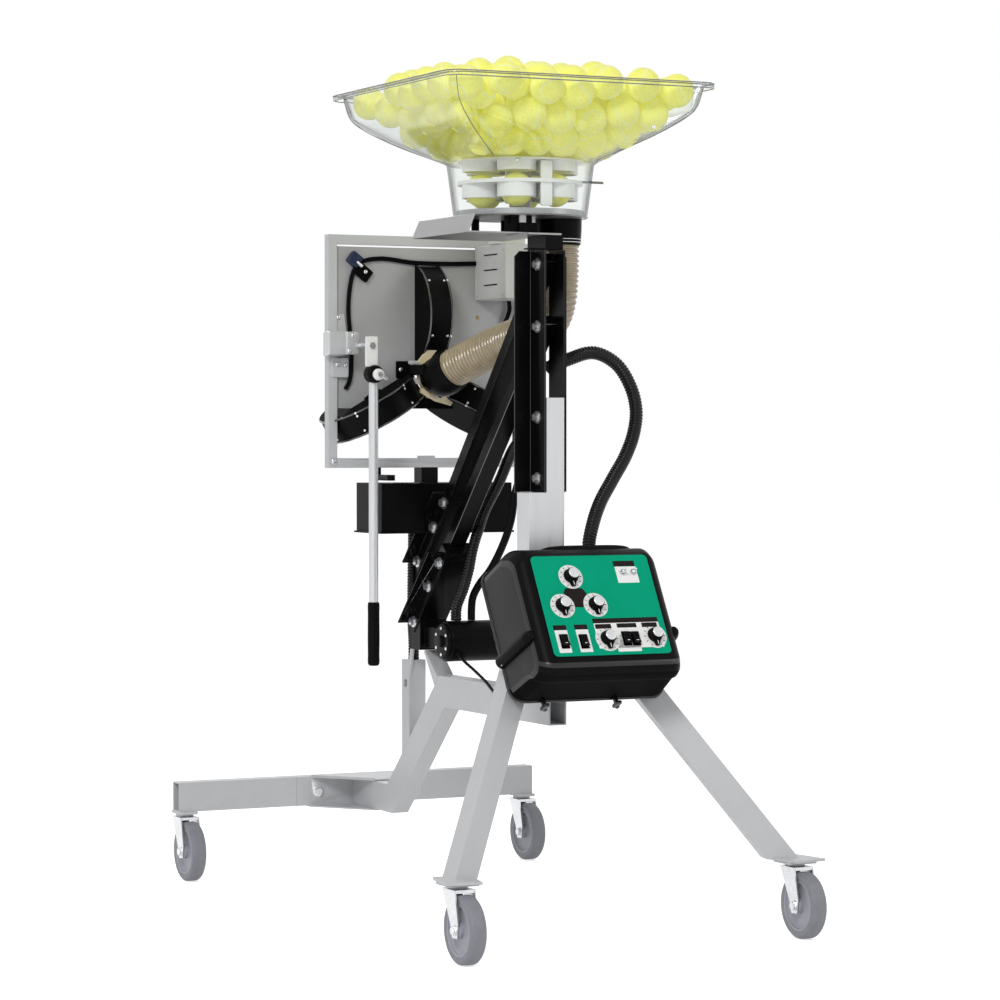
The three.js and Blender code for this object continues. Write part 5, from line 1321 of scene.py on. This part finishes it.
def held(balls, radius):
    """Balls held inside the sloped walls, over the neck and under a crown that drops to the rim.
    Each half-width is the wall's, less the radius along the wall's normal."""
    low = 143 + 1.318 * (balls[:, 2] - 1497) - radius * 1.66
    high = 258 + 0.26 * (balls[:, 2] - 1585) - radius * 1.04
    half = np.maximum(np.minimum(low, high), 30)
    power = corner_power(np.clip((balls[:, 2] - 1500) / 80, 0, 1))
    reach = (np.abs(balls[:, 0]) ** power + np.abs(balls[:, 1]) ** power) ** (1 / power)
    balls[:, :2] *= np.minimum(1, half / np.maximum(reach, 1e-6))[:, None]
    crown = 1660 - 30 * (np.maximum(np.abs(balls[:, 0]), np.abs(balls[:, 1])) / 245) ** 3
    balls[:, 2] = np.clip(balls[:, 2], 1497.5 + radius, crown)


def settle_heap(count, radius, seed):
    """Balls sink by less at each step, and every overlapping pair is pushed apart along its line by
    half the overlap. The first ones stay wedged where they start, along the rim."""
    random = np.random.default_rng(seed)
    balls = random.uniform(-1, 1, (count, 3)) * np.array([230, 230, 60]) + np.array([0, 0, 1600])
    rim = [(-232, -232, 1622), (232, -232, 1626), (-232, 232, 1622), (232, 232, 1624)]
    rim += [(-150, -233, 1634), (70, -232, 1638), (-232, -140, 1630), (-233, 60, 1636)]
    rim += [(232, -90, 1634), (233, 100, 1636), (-60, 232, 1636), (120, 233, 1634)]
    wedged = np.array(rim, float)
    for step in range(540):
        balls[:, 2] -= 1.2 * max(0.0, 1 - step / 300)
        for _ in range(6):
            balls[: len(wedged)] = wedged
            apart = balls[:, None] - balls[None]
            distance = np.linalg.norm(apart, axis=-1) + np.eye(count) * 1e6
            overlap = np.maximum(2 * radius - distance, 0)
            push = (overlap / distance)[..., None] * apart * 0.5
            balls += push.sum(axis=1) / np.sqrt(np.maximum((overlap > 0).sum(axis=1), 1))[:, None]
            held(balls, radius)
    balls[:, 1] += HOPPER_Y
    return balls


def ball_mesh(name, centres, radius, seed):
    """The unit ball at every centre, each under its own rotation from a random unit quaternion."""
    random = np.random.default_rng(seed)
    unit, quads = quad_ball()
    q = random.normal(size=(len(centres), 4))
    q /= np.linalg.norm(q, axis=1, keepdims=True)
    w, x, y, z = q.T
    turn = np.array(
        [
            [1 - 2 * (y * y + z * z), 2 * (x * y - w * z), 2 * (x * z + w * y)],
            [2 * (x * y + w * z), 1 - 2 * (x * x + z * z), 2 * (y * z - w * x)],
            [2 * (x * z - w * y), 2 * (y * z + w * x), 1 - 2 * (x * x + y * y)],
        ]
    ).transpose(2, 0, 1)
    points = centres[:, None] + radius * np.einsum("bij,pj->bpi", turn, unit)
    mesh = bpy.data.meshes.new(name)
    faces = quads[None] + (np.arange(len(centres)) * len(unit))[:, None, None]
    mesh.from_pydata(place(points.reshape(-1, 3)).tolist(), [], faces.reshape(-1, 4).tolist())
    own = mesh.attributes.new("ball_place", "FLOAT_VECTOR", "POINT")
    own.data.foreach_set("vector", np.tile(unit, (len(centres), 1)).ravel().astype(np.float32))
    return mesh


class MACHINE_OT_balls(MachinePiece, bpy.types.Operator):
    """The heap of balls in the hopper and one ball in each cup"""

    bl_idname = "machine.balls"
    bl_label = "Balls"

    def execute(self, context):
        radius = sizes().ball * 500
        heap = settle_heap(sizes().balls, radius, sizes().seed)
        settled(
            "hopper_balls", ball_mesh("hopper_balls", heap, radius, 3), ["ball_felt"], "hopper_bin", 180, None
        )
        angle = math.pi / 3 * np.arange(6) + CUP_TURN
        cups = CUP_OUT * np.stack([np.cos(angle), np.sin(angle), 0 * angle], axis=1)
        cups = (cups + (0, HOPPER_Y, 1403.5 + radius))[1:]
        settled(
            "cup_balls", ball_mesh("cup_balls", cups, radius * 0.995, 5), ["ball_felt"], "carousel", 180, None
        )
        return {"FINISHED"}


def holed_sector(middle, low, high):
    """One sixth of the carousel's disc with a cup's round hole about the given middle. Each ray from
    the hole's middle, c + s (cos t, sin t), ends where it first meets the rim or a side."""
    heading = math.atan2(middle[1], middle[0])
    ends = [np.array([math.cos(heading + a), math.sin(heading + a)]) for a in (-math.pi / 6, math.pi / 6)]
    corners = [math.atan2(*(CAROUSEL_REACH * end - middle)[::-1]) for end in ends] + [heading + math.pi]
    t = np.sort(np.mod(np.concatenate([np.linspace(0, 2 * np.pi, 60, endpoint=False), corners]), 2 * np.pi))
    way = np.stack([np.cos(t), np.sin(t)], axis=1)
    along = way @ middle
    far = -along + np.sqrt(along**2 + CAROUSEL_REACH**2 - middle @ middle)
    for end in ends:
        normal = np.array([-end[1], end[0]])
        slope = way @ normal
        hit = -(middle @ normal) / np.where(np.abs(slope) < 1e-9, 1e-9, slope)
        far = np.where(hit > 0, np.minimum(far, hit), far)
    hole, rim = middle + CUP_RADIUS * way, middle + far[:, None] * way
    rows = [(hole, low), (hole, high), (rim, high), (rim, low)]
    return np.array([np.c_[ring + (0, HOPPER_Y), np.full(len(t), height)] for ring, height in rows])


class MACHINE_OT_feeder(MachinePiece, bpy.types.Operator):
    """Feed floor with its spout, the white ball carousel and the fittings round the hose top"""

    bl_idname = "machine.feeder"
    bl_label = "Feeder"

    def execute(self, context):
        marks = [
            (lambda m, n: (m[:, 2] < 1384.2) & (m[:, 0] > 30), 1),
            (lambda m, n: (m[:, 2] < 1384.2) & (m[:, 0] < 30), 2),
        ]
        dressed("feed_floor", ["tray_metal", "smooth_black", "rubber"], 0.0008, marks)
        self.carousel()
        self.fittings()
        return {"FINISHED"}

    def carousel(self):
        """Two holed discs, each over a row of six rings turned from one profile, on a hub."""
        shape = Shape()
        for number in range(6):
            angle = math.pi / 3 * number + CUP_TURN
            middle = CUP_OUT * np.array([math.cos(angle), math.sin(angle)])
            at = (middle[0], middle[1] + HOPPER_Y, 0)
            for low, under, top in ((1421, 1449, 1456), (1473, 1493, 1497)):
                shape.add(holed_sector(middle, under, top), looped=True)
                ring = [(CUP_RADIUS, low), (37.6, low), (38.5, low + 1), (38.5, under + 0.5)]
                ring.append((CUP_RADIUS, under + 0.5))
                shape.add(turned(ring, at, Z, 48), looped=True)
        shape.add(pad((-1, -286, 1447), (12, 3, 44), 16))
        hub = [(0, 1403.2), (22, 1403.2), (22, 1508), (19, 1512), (0, 1512)]
        shape.add(turned(rounded_profile(hub, 1.5), (0, HOPPER_Y, 0), Z, 36))
        shape.piece("carousel_dressed", ["white_plastic"], "carousel")

    def fittings(self):
        """A black funnel round the hose top with a wire clamp, and a block with a peg beside it."""
        shape = Shape()
        funnel = [
            (43.4, 1384), (46.5, 1384), (46, 1362), (44.5, 1340), (43.6, 1334), (42.4, 1334), (42.4, 1360)
        ]
        shape.add(turned(funnel, (84, -172, 0), Z, 48), 0, looped=True)
        for height in (1339, 1345):
            angle = circle(48)
            ring = np.stack(
                [84 + 45.4 * np.cos(angle), -172 + 45.4 * np.sin(angle), np.full(48, height)], axis=1
            )
            t = circle(8)
            out = (ring - (84, -172, height)) / 45.4
            tube = ring[None] + 0.8 * (np.cos(t)[:, None, None] * out[None] + np.sin(t)[:, None, None] * Z)
            shape.add(tube, 1, looped=True)
        shape.add(pad((-30, -262, 1360), (21, 8, 10.5), 12), 0)
        shape.add(pad((-42, -262, 1377), (6.5, 6, 8.5), 12), 2)
        finishes = ["smooth_black", "zinc", "white_plastic"]
        shape.piece("hose_top_fittings", finishes, "feed_floor", extra=None)


class MACHINE_OT_hose(MachinePiece, bpy.types.Operator):
    """Ribbed feed hose in two runs"""

    bl_idname = "machine.hose"
    bl_label = "Feed hose"

    def execute(self, context):
        line = smooth_path(HOSE_PATH, HOSE_RIBS * RIB_STEPS + 1)
        split = UPPER_RIBS * RIB_STEPS
        upper = self.run("feed_hose_upper", line[: split + 1], 0)
        lower = self.run("feed_hose_lower", line[split:].copy(), 0.3)
        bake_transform(upper)
        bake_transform(lower)
        return {"FINISHED"}

    def run(self, name, line, gap):
        """r(s) = groove + (crest - groove) |sin(pi s / pitch)|^0.8 outside, and the bore back inside."""
        if gap:
            line[0] += (line[1] - line[0]) / np.linalg.norm(line[1] - line[0]) * gap
        count = len(line)
        wave = np.abs(np.sin(np.pi * np.arange(count) / RIB_STEPS)) ** 0.8
        outer = sections(line, 37.6 + 3.2 * wave, 40, X)
        inner = sections(line, 35.6 + 1.6 * wave, 40, X)
        shape = Shape().add(np.concatenate([outer, inner[::-1]]), looped=True)
        crest = np.abs((np.arange(count - 1) + 0.5) % RIB_STEPS - RIB_STEPS / 2) < 1.6
        marks = np.concatenate([crest, [False], np.zeros(count - 1, bool), [False]]).astype(int)
        shape.marks[0] = np.repeat(marks, 40)
        return shape.piece(name + "_dressed", ["hose_tan", "hose_wire"], name, 60, carried=False)


# Controls


def box_ring(inset, x, count=160):
    """The box's side outline (n, v), a polygon rounded by a circular Gaussian over its arc length,
    drawn in towards the middle of its back by an inset and set at x, which grows by a tenth to the back."""
    corners = [(626.3, 160.0), (716, 158), (722, 152), (748, 155), (760, 172), (760, 402), (746, 422)]
    corners = np.array([*corners, (716, 437.5), (626.3, 434)])
    closed = np.concatenate([corners, corners[:1]])
    flat = np.concatenate([closed, np.zeros((len(closed), 1))], axis=1)
    line = even(flat, count + 1)[:-1, :2]
    length = path_length(flat)
    wave = np.fft.fftfreq(count, length / count)
    soft = np.exp(-2 * (np.pi * wave * 4.5) ** 2)[:, None]
    line = np.real(np.fft.ifft(np.fft.fft(line, axis=0) * soft, axis=0))
    middle = (corners.min(axis=0) + corners.max(axis=0)) / 2
    half = (corners.max(axis=0) - corners.min(axis=0)) / 2
    middle[0], half[0] = 626.3, 134
    line = middle + (line - middle) * (1 - inset / half)
    flare = x * (1 + 0.105 * (760 - line[:, 0]) / 134)
    return on_panel(np.stack([flare, line[:, 1], line[:, 0]], axis=1))


def bead_loop(centre, half, radius, height, thick):
    """A closed bead on the panel's plane: the rounded outline grows by r cos t and rises by r sin t."""
    rows = []
    for t in circle(8):
        grow = thick * math.cos(t)
        ring = rounded_outline(centre, (half[0] + grow, half[1] + grow), radius + grow)
        rows.append(np.c_[ring, np.full(len(ring), height + thick * math.sin(t))])
    return on_panel(np.array(rows))


class MACHINE_OT_control_box(MachinePiece, bpy.types.Operator):
    """Moulded control box with its panel seat, side ribs, clips and screws"""

    bl_idname = "machine.control_box"
    bl_label = "Control box"

    def execute(self, context):
        round_by = sizes().box_edge * 1000
        turn = np.linspace(0, np.pi / 2, 9)
        edges = [(round_by * (1 - np.sin(a)), 150 - round_by * (1 - np.cos(a))) for a in turn]
        rows = [box_ring(inset, -x) for inset, x in edges] + [box_ring(inset, x) for inset, x in edges[::-1]]
        shape = Shape().add(capped(np.array(rows)), 0)
        middles = shape.points[0][shape.quads[0]].mean(axis=1).reshape(-1, 160, 3)[9]
        out, up = middles @ PANEL_OUT, middles @ PANEL_UP
        marks = shape.marks[0].reshape(-1, 160)
        # The underside takes the dull matt black: painted shade under the box
        marks[:, (up < 171) & (out < 746)] = 3
        # The flat sides take a coarser, glossier grained black: its grain, and painted light that makes them
        # lighter
        marks[[0, -1]] = 4
        # Glossier strips along the lower front edge and down the front of each side: a painted highlight
        # there
        marks[2:-2, (out > 756.5) & (up < 175)] = 2
        marks[1:3, out > 640] = 2
        shape.marks[0] = marks.ravel()
        shape.add(bead_loop((0, 298.5), (165, 139), 30, 630, 3.2), 2, looped=True)
        seat = rounded_outline((0, 294.5), (127, 110), 12)
        shape.add(plate(seat, 742, 760.2, on_panel, 3.0), 0)
        shape.add(pad(on_panel((18, 426, 704)), (100, 10.5, 38), 4.5, PANEL_AXES, 20, 48), 0)
        for side in (-1, 1):
            rib = rounded_profile([(0, -62), (13.5, -62), (13.5, 46), (9, 60), (0, 62)], 5.0)
            shape.add(turned(rib, on_panel((side * 158.5, 243, 688)), PANEL_OUT - side * X * 0.1175, 40), 0)
            shape.add(screw(on_panel((side * 172, 236, 640)), -PANEL_UP * 0.4 + X * side * 0.9, 4.4, 2.6), 1)
        for x in (-104, 50):
            shape.add(pad(on_panel((x, 147, 640)), (3.5, 13, 5), 6, PANEL_AXES), 2)
            shape.add(pad(on_panel((x - 4, 139, 648)), (6, 3.5, 12), 6, PANEL_AXES), 2)
        finishes = ["moulded_black", "zinc", "glossy_black_and_edge_highlight", "matt_black", "lit_side_grain"]
        shape.piece("control_shell_dressed", finishes, "control_shell")
        return {"FINISHED"}


# Places (x, v) on the panel, and how far out its face lies
KNOBS = [(-48.9, 355.4), (-81.5, 294.5), (-11.4, 294.9), (-4.8, 222.8), (96.7, 226)]
ROCKERS = [(-96.6, 219.3), (-55.9, 218), (35.4, 221.5), (54.5, 220.9)]
TOGGLES = [(64, 361.4), (86, 361.4)]
FACE = 762.6


class MACHINE_OT_panel(MachinePiece, bpy.types.Operator):
    """Green panel with its printed plates and toggle collars"""

    bl_idname = "machine.panel"
    bl_label = "Panel"

    def execute(self, context):
        shape = Shape()
        shape.add(plate(rounded_outline((0.5, 294), (124.5, 105.5), 9), 760.3, 762.3, on_panel, 0.5), 0)
        low, high = 762.3, 762.48
        for x, v in KNOBS:
            angle = circle(48)
            disc = np.array([x, v - 1]) + 25.2 * np.stack([np.cos(angle), np.sin(angle)], axis=1)
            shape.add(plate(disc, low + 0.06, high + 0.06, on_panel, 0.05), 1)
            self.ticks(shape, x, v - 1)
        whites = [
            ((-98.8, 219.3), (13.2, 23.8)), ((-54.6, 219.5), (13.2, 23.8)), ((42.8, 228.5), (69.3, 26.5))
        ]
        whites += [((37, 212), (25, 17.6)), ((72.8, 356.8), (22.8, 17.4))]
        for middle, half in whites:
            shape.add(plate(rounded_outline(middle, half, 1.5), low, high, on_panel, 0.05), 1)
        strips = [((-99.3, 248), (13.8, 5.2)), ((-55, 248.2), (13.8, 5.2)), ((42.3, 260), (69.5, 5.0))]
        strips += [((-7.5, 248.2), (17.0, 4.9)), ((42.6, 249), (21.0, 4.6)), ((91.3, 249), (16.5, 4.8))]
        strips.append(((71.3, 380.6), (22.8, 5.8)))
        for middle, half in strips:
            shape.add(plate(rounded_outline(middle, half, 1), low + 0.1, high + 0.1, on_panel, 0.05), 2)
        shape.add(plate(self.between_dials(), low, low + 0.1, on_panel, 0.03), 2)
        for x, v in ROCKERS:
            bezel = plate(rounded_outline((x, v), (8.8, 15.2), 1.5), high, FACE + 0.15, on_panel, 0.05)
            shape.add(bezel, 3)
        for x, v in TOGGLES:
            ring = [(5.2, 762.2), (6.5, 762.2), (6.5, 765.6), (6.1, 766.2), (5.2, 766.2)]
            centre = on_panel((x, v, 0))
            shape.add(turned(ring, centre, PANEL_OUT, 24), 4, looped=True)
        finishes = ["green_panel", "white_print", "dark_print", "smooth_black", "zinc"]
        shape.piece("control_panel_dressed", finishes, "control_panel")
        return {"FINISHED"}

    def ticks(self, shape, x, v):
        """Eleven short bars round a dial, each a small plate turned by 30 degrees more."""
        for step in range(11):
            angle = math.radians(-60 + 30 * step)
            way = np.array([math.cos(angle), math.sin(angle)])
            side = np.array([-way[1], way[0]])
            middle = np.array([x, v]) + 21 * way
            corners = [
                middle + way * a + side * b for a, b in ((-2.2, -0.6), (2.2, -0.6), (2.2, 0.6), (-2.2, 0.6))
            ]
            shape.add(plate(corners, 762.54, 762.62, on_panel, 0.02), 2)

    def between_dials(self):
        """The dark shape between the first three dials, a six-sided outline with soft corners."""
        corners = [(-66.2, 331), (-30.7, 330), (-23.4, 317.4), (-38.1, 289.5), (-57.3, 290), (-73.3, 320.1)]
        corners = np.array([*corners, corners[0]], float)
        line = even(np.c_[corners, np.zeros(7)], 61)[:-1, :2]
        return (np.roll(line, 1, axis=0) + line + np.roll(line, -1, axis=0)) / 3


class MACHINE_OT_controls(MachinePiece, bpy.types.Operator):
    """Knobs, rocker switches and toggle switches"""

    bl_idname = "machine.controls"
    bl_label = "Knobs and switches"

    def execute(self, context):
        for number, (x, v) in enumerate(KNOBS, 1):
            self.knob(number, x, v)
        for number, (x, v) in enumerate(ROCKERS, 1):
            self.rocker(number, x, v)
        for number, (x, v) in enumerate(TOGGLES, 1):
            self.toggle(number, x, v)
        return {"FINISHED"}

    def knob(self, number, x, v):
        """A fluted skirted body and a bright cap, turned, and a soft pointer block."""
        centre = on_panel((x, v, 0))
        body = [
            (0, FACE), (15.2, FACE), (15.4, FACE + 2), (13.6, FACE + 4.5), (12.6, FACE + 14),
            (12.0, FACE + 15)
        ]
        body.append((0, FACE + 15))
        cap = [(0, FACE + 14), (10.6, FACE + 14), (10.6, FACE + 17), (9.6, FACE + 17.9), (0, FACE + 17.6)]
        shape = Shape()
        shape.add(turned(rounded_profile(body, 0.8, 3), centre, PANEL_OUT, 80, 20, 0.07), 0)
        shape.add(turned(rounded_profile(cap, 0.6, 3), centre, PANEL_OUT, 40), 1)
        wedge = [(x - 8, v - 9), (x + 8, v - 9), (x + 3.4, v - 22), (x - 3.4, v - 22)]
        shape.add(plate(wedge, FACE + 0.1, FACE + 7, on_panel, 1.0), 0)
        shape.add(pad(on_panel((x, v - 16, FACE + 7.1)), (0.7, 5.4, 0.4), 6, PANEL_AXES, 6, 12), 2)
        shape.piece(f"knob_{number}_dressed", ["rubber", "zinc", "white_print"], f"knob_{number}")

    def rocker(self, number, x, v):
        """A curved cap: its side outline in (v, n) is carried across x, the ends drawn in a little."""
        t = np.linspace(-1, 1, 15)
        top = np.stack([v + 11.8 * t, FACE + 5.4 + 2.0 * t**2 - 0.9 * t], axis=1)
        foot = np.array([(v + 11.6, FACE + 2.7), (v, FACE + 2.6), (v - 11.6, FACE + 2.7)])
        outline = np.concatenate([top, foot])
        middle = outline.mean(axis=0)
        rows = []
        for across_x, shrink in ((-6.5, 0.0), (-6.5, 0.93), (-5.9, 1), (5.9, 1), (6.5, 0.93), (6.5, 0.0)):
            ring = middle + (outline - middle) * shrink
            rows.append(
                on_panel(np.stack([np.full(len(ring), x + across_x), ring[:, 0], ring[:, 1]], axis=1))
            )
        shape = Shape().add(np.array(rows), 0)
        shape.add(pad(on_panel((x, v - 6.4, FACE + 7.3)), (2.6, 0.6, 0.5), 6, PANEL_AXES, 6, 12), 1)
        shape.piece(f"rocker_{number}_dressed", ["smooth_black", "white_print"], f"rocker_{number}")

    def toggle(self, number, x, v):
        """A ball with a bat lever, turned about the panel's outward line."""
        centre = on_panel((x, v, 0))
        bat = [
            (0, FACE + 0.2), (2.8, FACE + 1), (4.4, FACE + 3.2), (4.4, FACE + 5.4), (2.9, FACE + 8),
            (1.5, FACE + 9)
        ]
        bat += [(1.6, FACE + 11), (2.3, FACE + 15), (1.9, FACE + 16.6), (0, FACE + 17)]
        shape = Shape().add(turned(rounded_profile(bat, 0.6, 3), centre, PANEL_OUT, 28), 0)
        shape.piece(f"toggle_{number}_dressed", ["zinc"], f"toggle_{number}")


# Cords


class MACHINE_OT_cords(MachinePiece, bpy.types.Operator):
    """Corrugated conduits and plain cables"""

    bl_idname = "machine.cords"
    bl_label = "Cords"

    def execute(self, context):
        self.conduit("control_conduit", CONTROL_CONDUIT, 13.5, Y, "stiff")
        self.conduit("arm_conduit", ARM_CONDUIT, 11.5, X, "stiff")
        self.conduit("front_conduit", FRONT_CONDUIT, 12.0, X, "stiff")
        self.cable("loop_cable", LOOP_CABLE, 8.0, X, "rubber")
        self.cable("power_cable", POWER_CABLE, 3.0, Z, "rubber")
        return {"FINISHED"}

    def conduit(self, name, route, radius, upright, stiffness):
        """r(s) = R - 1.3 |cos(pi s / pitch)|^3, rounded ribs with narrow grooves."""
        length = path_length(smooth_path(route, 400))
        ribs = round(length / (sizes().rib_pitch * 1000))
        line = smooth_path(route, ribs * RIB_STEPS + 1)
        wave = np.abs(np.cos(np.pi * np.arange(len(line)) / RIB_STEPS)) ** 3
        shape = Shape().add(capped(sections(line, radius - 1.3 * wave, 24, upright)))
        piece = shape.piece(name + "_dressed", ["conduit_black"], name, 70)
        self.declare(piece, route, radius, stiffness)

    def cable(self, name, route, radius, upright, material):
        """A plain tube of one radius along its route."""
        line = smooth_path(route, 140)
        shape = Shape().add(capped(sections(line, radius, 20, upright)))
        piece = shape.piece(name + "_dressed", [material], name, 70)
        self.declare(piece, route, radius, "medium")

    def declare(self, piece, route, radius, stiffness):
        """Takes the piece, its route, radius and stiffness, and does nothing with them."""


# Stage


class MACHINE_OT_stage(MachinePiece, bpy.types.Operator):
    """Pale floor, soft studio light and the camera at the photo's angle"""

    bl_idname = "machine.stage"
    bl_label = "Stage"

    def execute(self, context):
        self.floor()
        self.world()
        self.lamp("key", (-3.6, -3.8, 4.0), 1.5, 135)
        self.lamp("fill", (3.8, -3.4, 2.6), 1.7, 26)
        self.lamp("back", (0.8, 4.2, 3.6), 1.7, 55)
        self.camera()
        context.scene.view_settings.view_transform = "Standard"
        return {"FINISHED"}

    def floor(self):
        """A wide pale plane that shows white where a ray first meets it."""
        mesh = bpy.data.meshes.new("floor")
        half = 30.0
        mesh.from_pydata(
            [(-half, -half, 0), (half, -half, 0), (half, half, 0), (-half, half, 0)], [], [(0, 1, 2, 3)]
        )
        made = bpy.data.materials.new("pale_floor")
        made.use_nodes = True
        tree = made.node_tree
        shader = tree.nodes["Principled BSDF"]
        shader.inputs["Base Color"].default_value = spread(colours().floor)
        shader.inputs["Roughness"].default_value = 0.9
        shader.inputs["Specular IOR Level"].default_value = 0.1
        shader.inputs["Emission Color"].default_value = (1, 1, 1, 1)
        lift = node(tree, "ShaderNodeMath", operation="MULTIPLY")
        lift.inputs[1].default_value = 0.6
        link(tree, first_seen(tree), 0, lift, 0)
        link(tree, lift, 0, shader, "Emission Strength")
        mesh.materials.append(made)
        floor = bpy.data.objects.new("floor", mesh)
        bpy.context.scene.collection.objects.link(floor)

    def world(self):
        """Even white light at half strength, and full white where it is seen."""
        world = bpy.data.worlds.new("studio")
        world.use_nodes = True
        tree = world.node_tree
        tree.nodes.clear()
        dim = node(tree, "ShaderNodeBackground", Color=(1, 1, 1, 1), Strength=0.5)
        bright = node(tree, "ShaderNodeBackground", Color=(1, 1, 1, 1), Strength=1.0)
        mix = node(tree, "ShaderNodeMixShader")
        out = node(tree, "ShaderNodeOutputWorld")
        link(tree, first_seen(tree), 0, mix, "Fac")
        link(tree, dim, "Background", mix, 1)
        link(tree, bright, "Background", mix, 2)
        link(tree, mix, "Shader", out, "Surface")
        bpy.context.scene.world = world

    def lamp(self, name, spot, size, power):
        """A square lamp aimed at the machine's middle height."""
        data = bpy.data.lights.new(name, "AREA")
        data.shape = "SQUARE"
        data.size = size
        data.energy = power
        lamp = bpy.data.objects.new(name, data)
        lamp.location = spot
        aim = Vector((0, 0, 0.9)) - Vector(spot)
        lamp.rotation_euler = aim.to_track_quat("-Z", "Y").to_euler()
        bpy.context.scene.collection.objects.link(lamp)

    def camera(self):
        """The camera at the photo's place: turned from +y towards +x and dipped below level."""
        data = bpy.data.cameras.new("camera")
        data.lens = 117.95
        data.sensor_width = 36.0
        data.clip_end = 200.0
        camera = bpy.data.objects.new("camera", data)
        camera.location = (-2.88725, -5.95989, 0.95678)
        turn, dip = math.radians(26.04), math.radians(1.14)
        way = Vector((math.sin(turn) * math.cos(dip), math.cos(turn) * math.cos(dip), -math.sin(dip)))
        camera.rotation_euler = way.to_track_quat("-Z", "Y").to_euler()
        bpy.context.scene.collection.objects.link(camera)
        bpy.context.scene.camera = camera


class MACHINE_PT_panel(bpy.types.Panel):
    """Lists the machine's pieces and settings"""

    bl_idname = "MACHINE_PT_panel"
    bl_label = "Ball-throwing machine"
    bl_space_type = "VIEW_3D"
    bl_region_type = "UI"
    bl_category = "Machine"

    def draw(self, context):
        layout = self.layout
        for group in (context.scene.machine_sizes, context.scene.machine_colours):
            box = layout.box()
            for name in group.bl_rna.properties.keys():
                if name not in ("rna_type", "name"):
                    box.prop(group, name)
        for operator in PIECES:
            layout.operator(operator.bl_idname)


PIECES = (
    MACHINE_OT_stage,
    MACHINE_OT_cords,
    MACHINE_OT_base,
    MACHINE_OT_casters,
    MACHINE_OT_mast,
    MACHINE_OT_drives,
    MACHINE_OT_head_frame,
    MACHINE_OT_throwers,
    MACHINE_OT_head_fittings,
    MACHINE_OT_hopper,
    MACHINE_OT_feeder,
    MACHINE_OT_balls,
    MACHINE_OT_hose,
    MACHINE_OT_control_box,
    MACHINE_OT_panel,
    MACHINE_OT_controls,
)
CLASSES = (MachineSizes, MachineColours, *PIECES, MACHINE_PT_panel)


def register():
    for made in CLASSES:
        bpy.utils.register_class(made)
    bpy.types.Scene.machine_sizes = PointerProperty(type=MachineSizes)
    bpy.types.Scene.machine_colours = PointerProperty(type=MachineColours)


def unregister():
    del bpy.types.Scene.machine_colours
    del bpy.types.Scene.machine_sizes
    for made in reversed(CLASSES):
        bpy.utils.unregister_class(made)


def main():
    """Makes every piece in order."""
    register()
    for operator in PIECES:
        group, name = operator.bl_idname.split(".")
        getattr(getattr(bpy.ops, group), name)()
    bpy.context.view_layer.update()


if __name__ == "__main__":
    main()
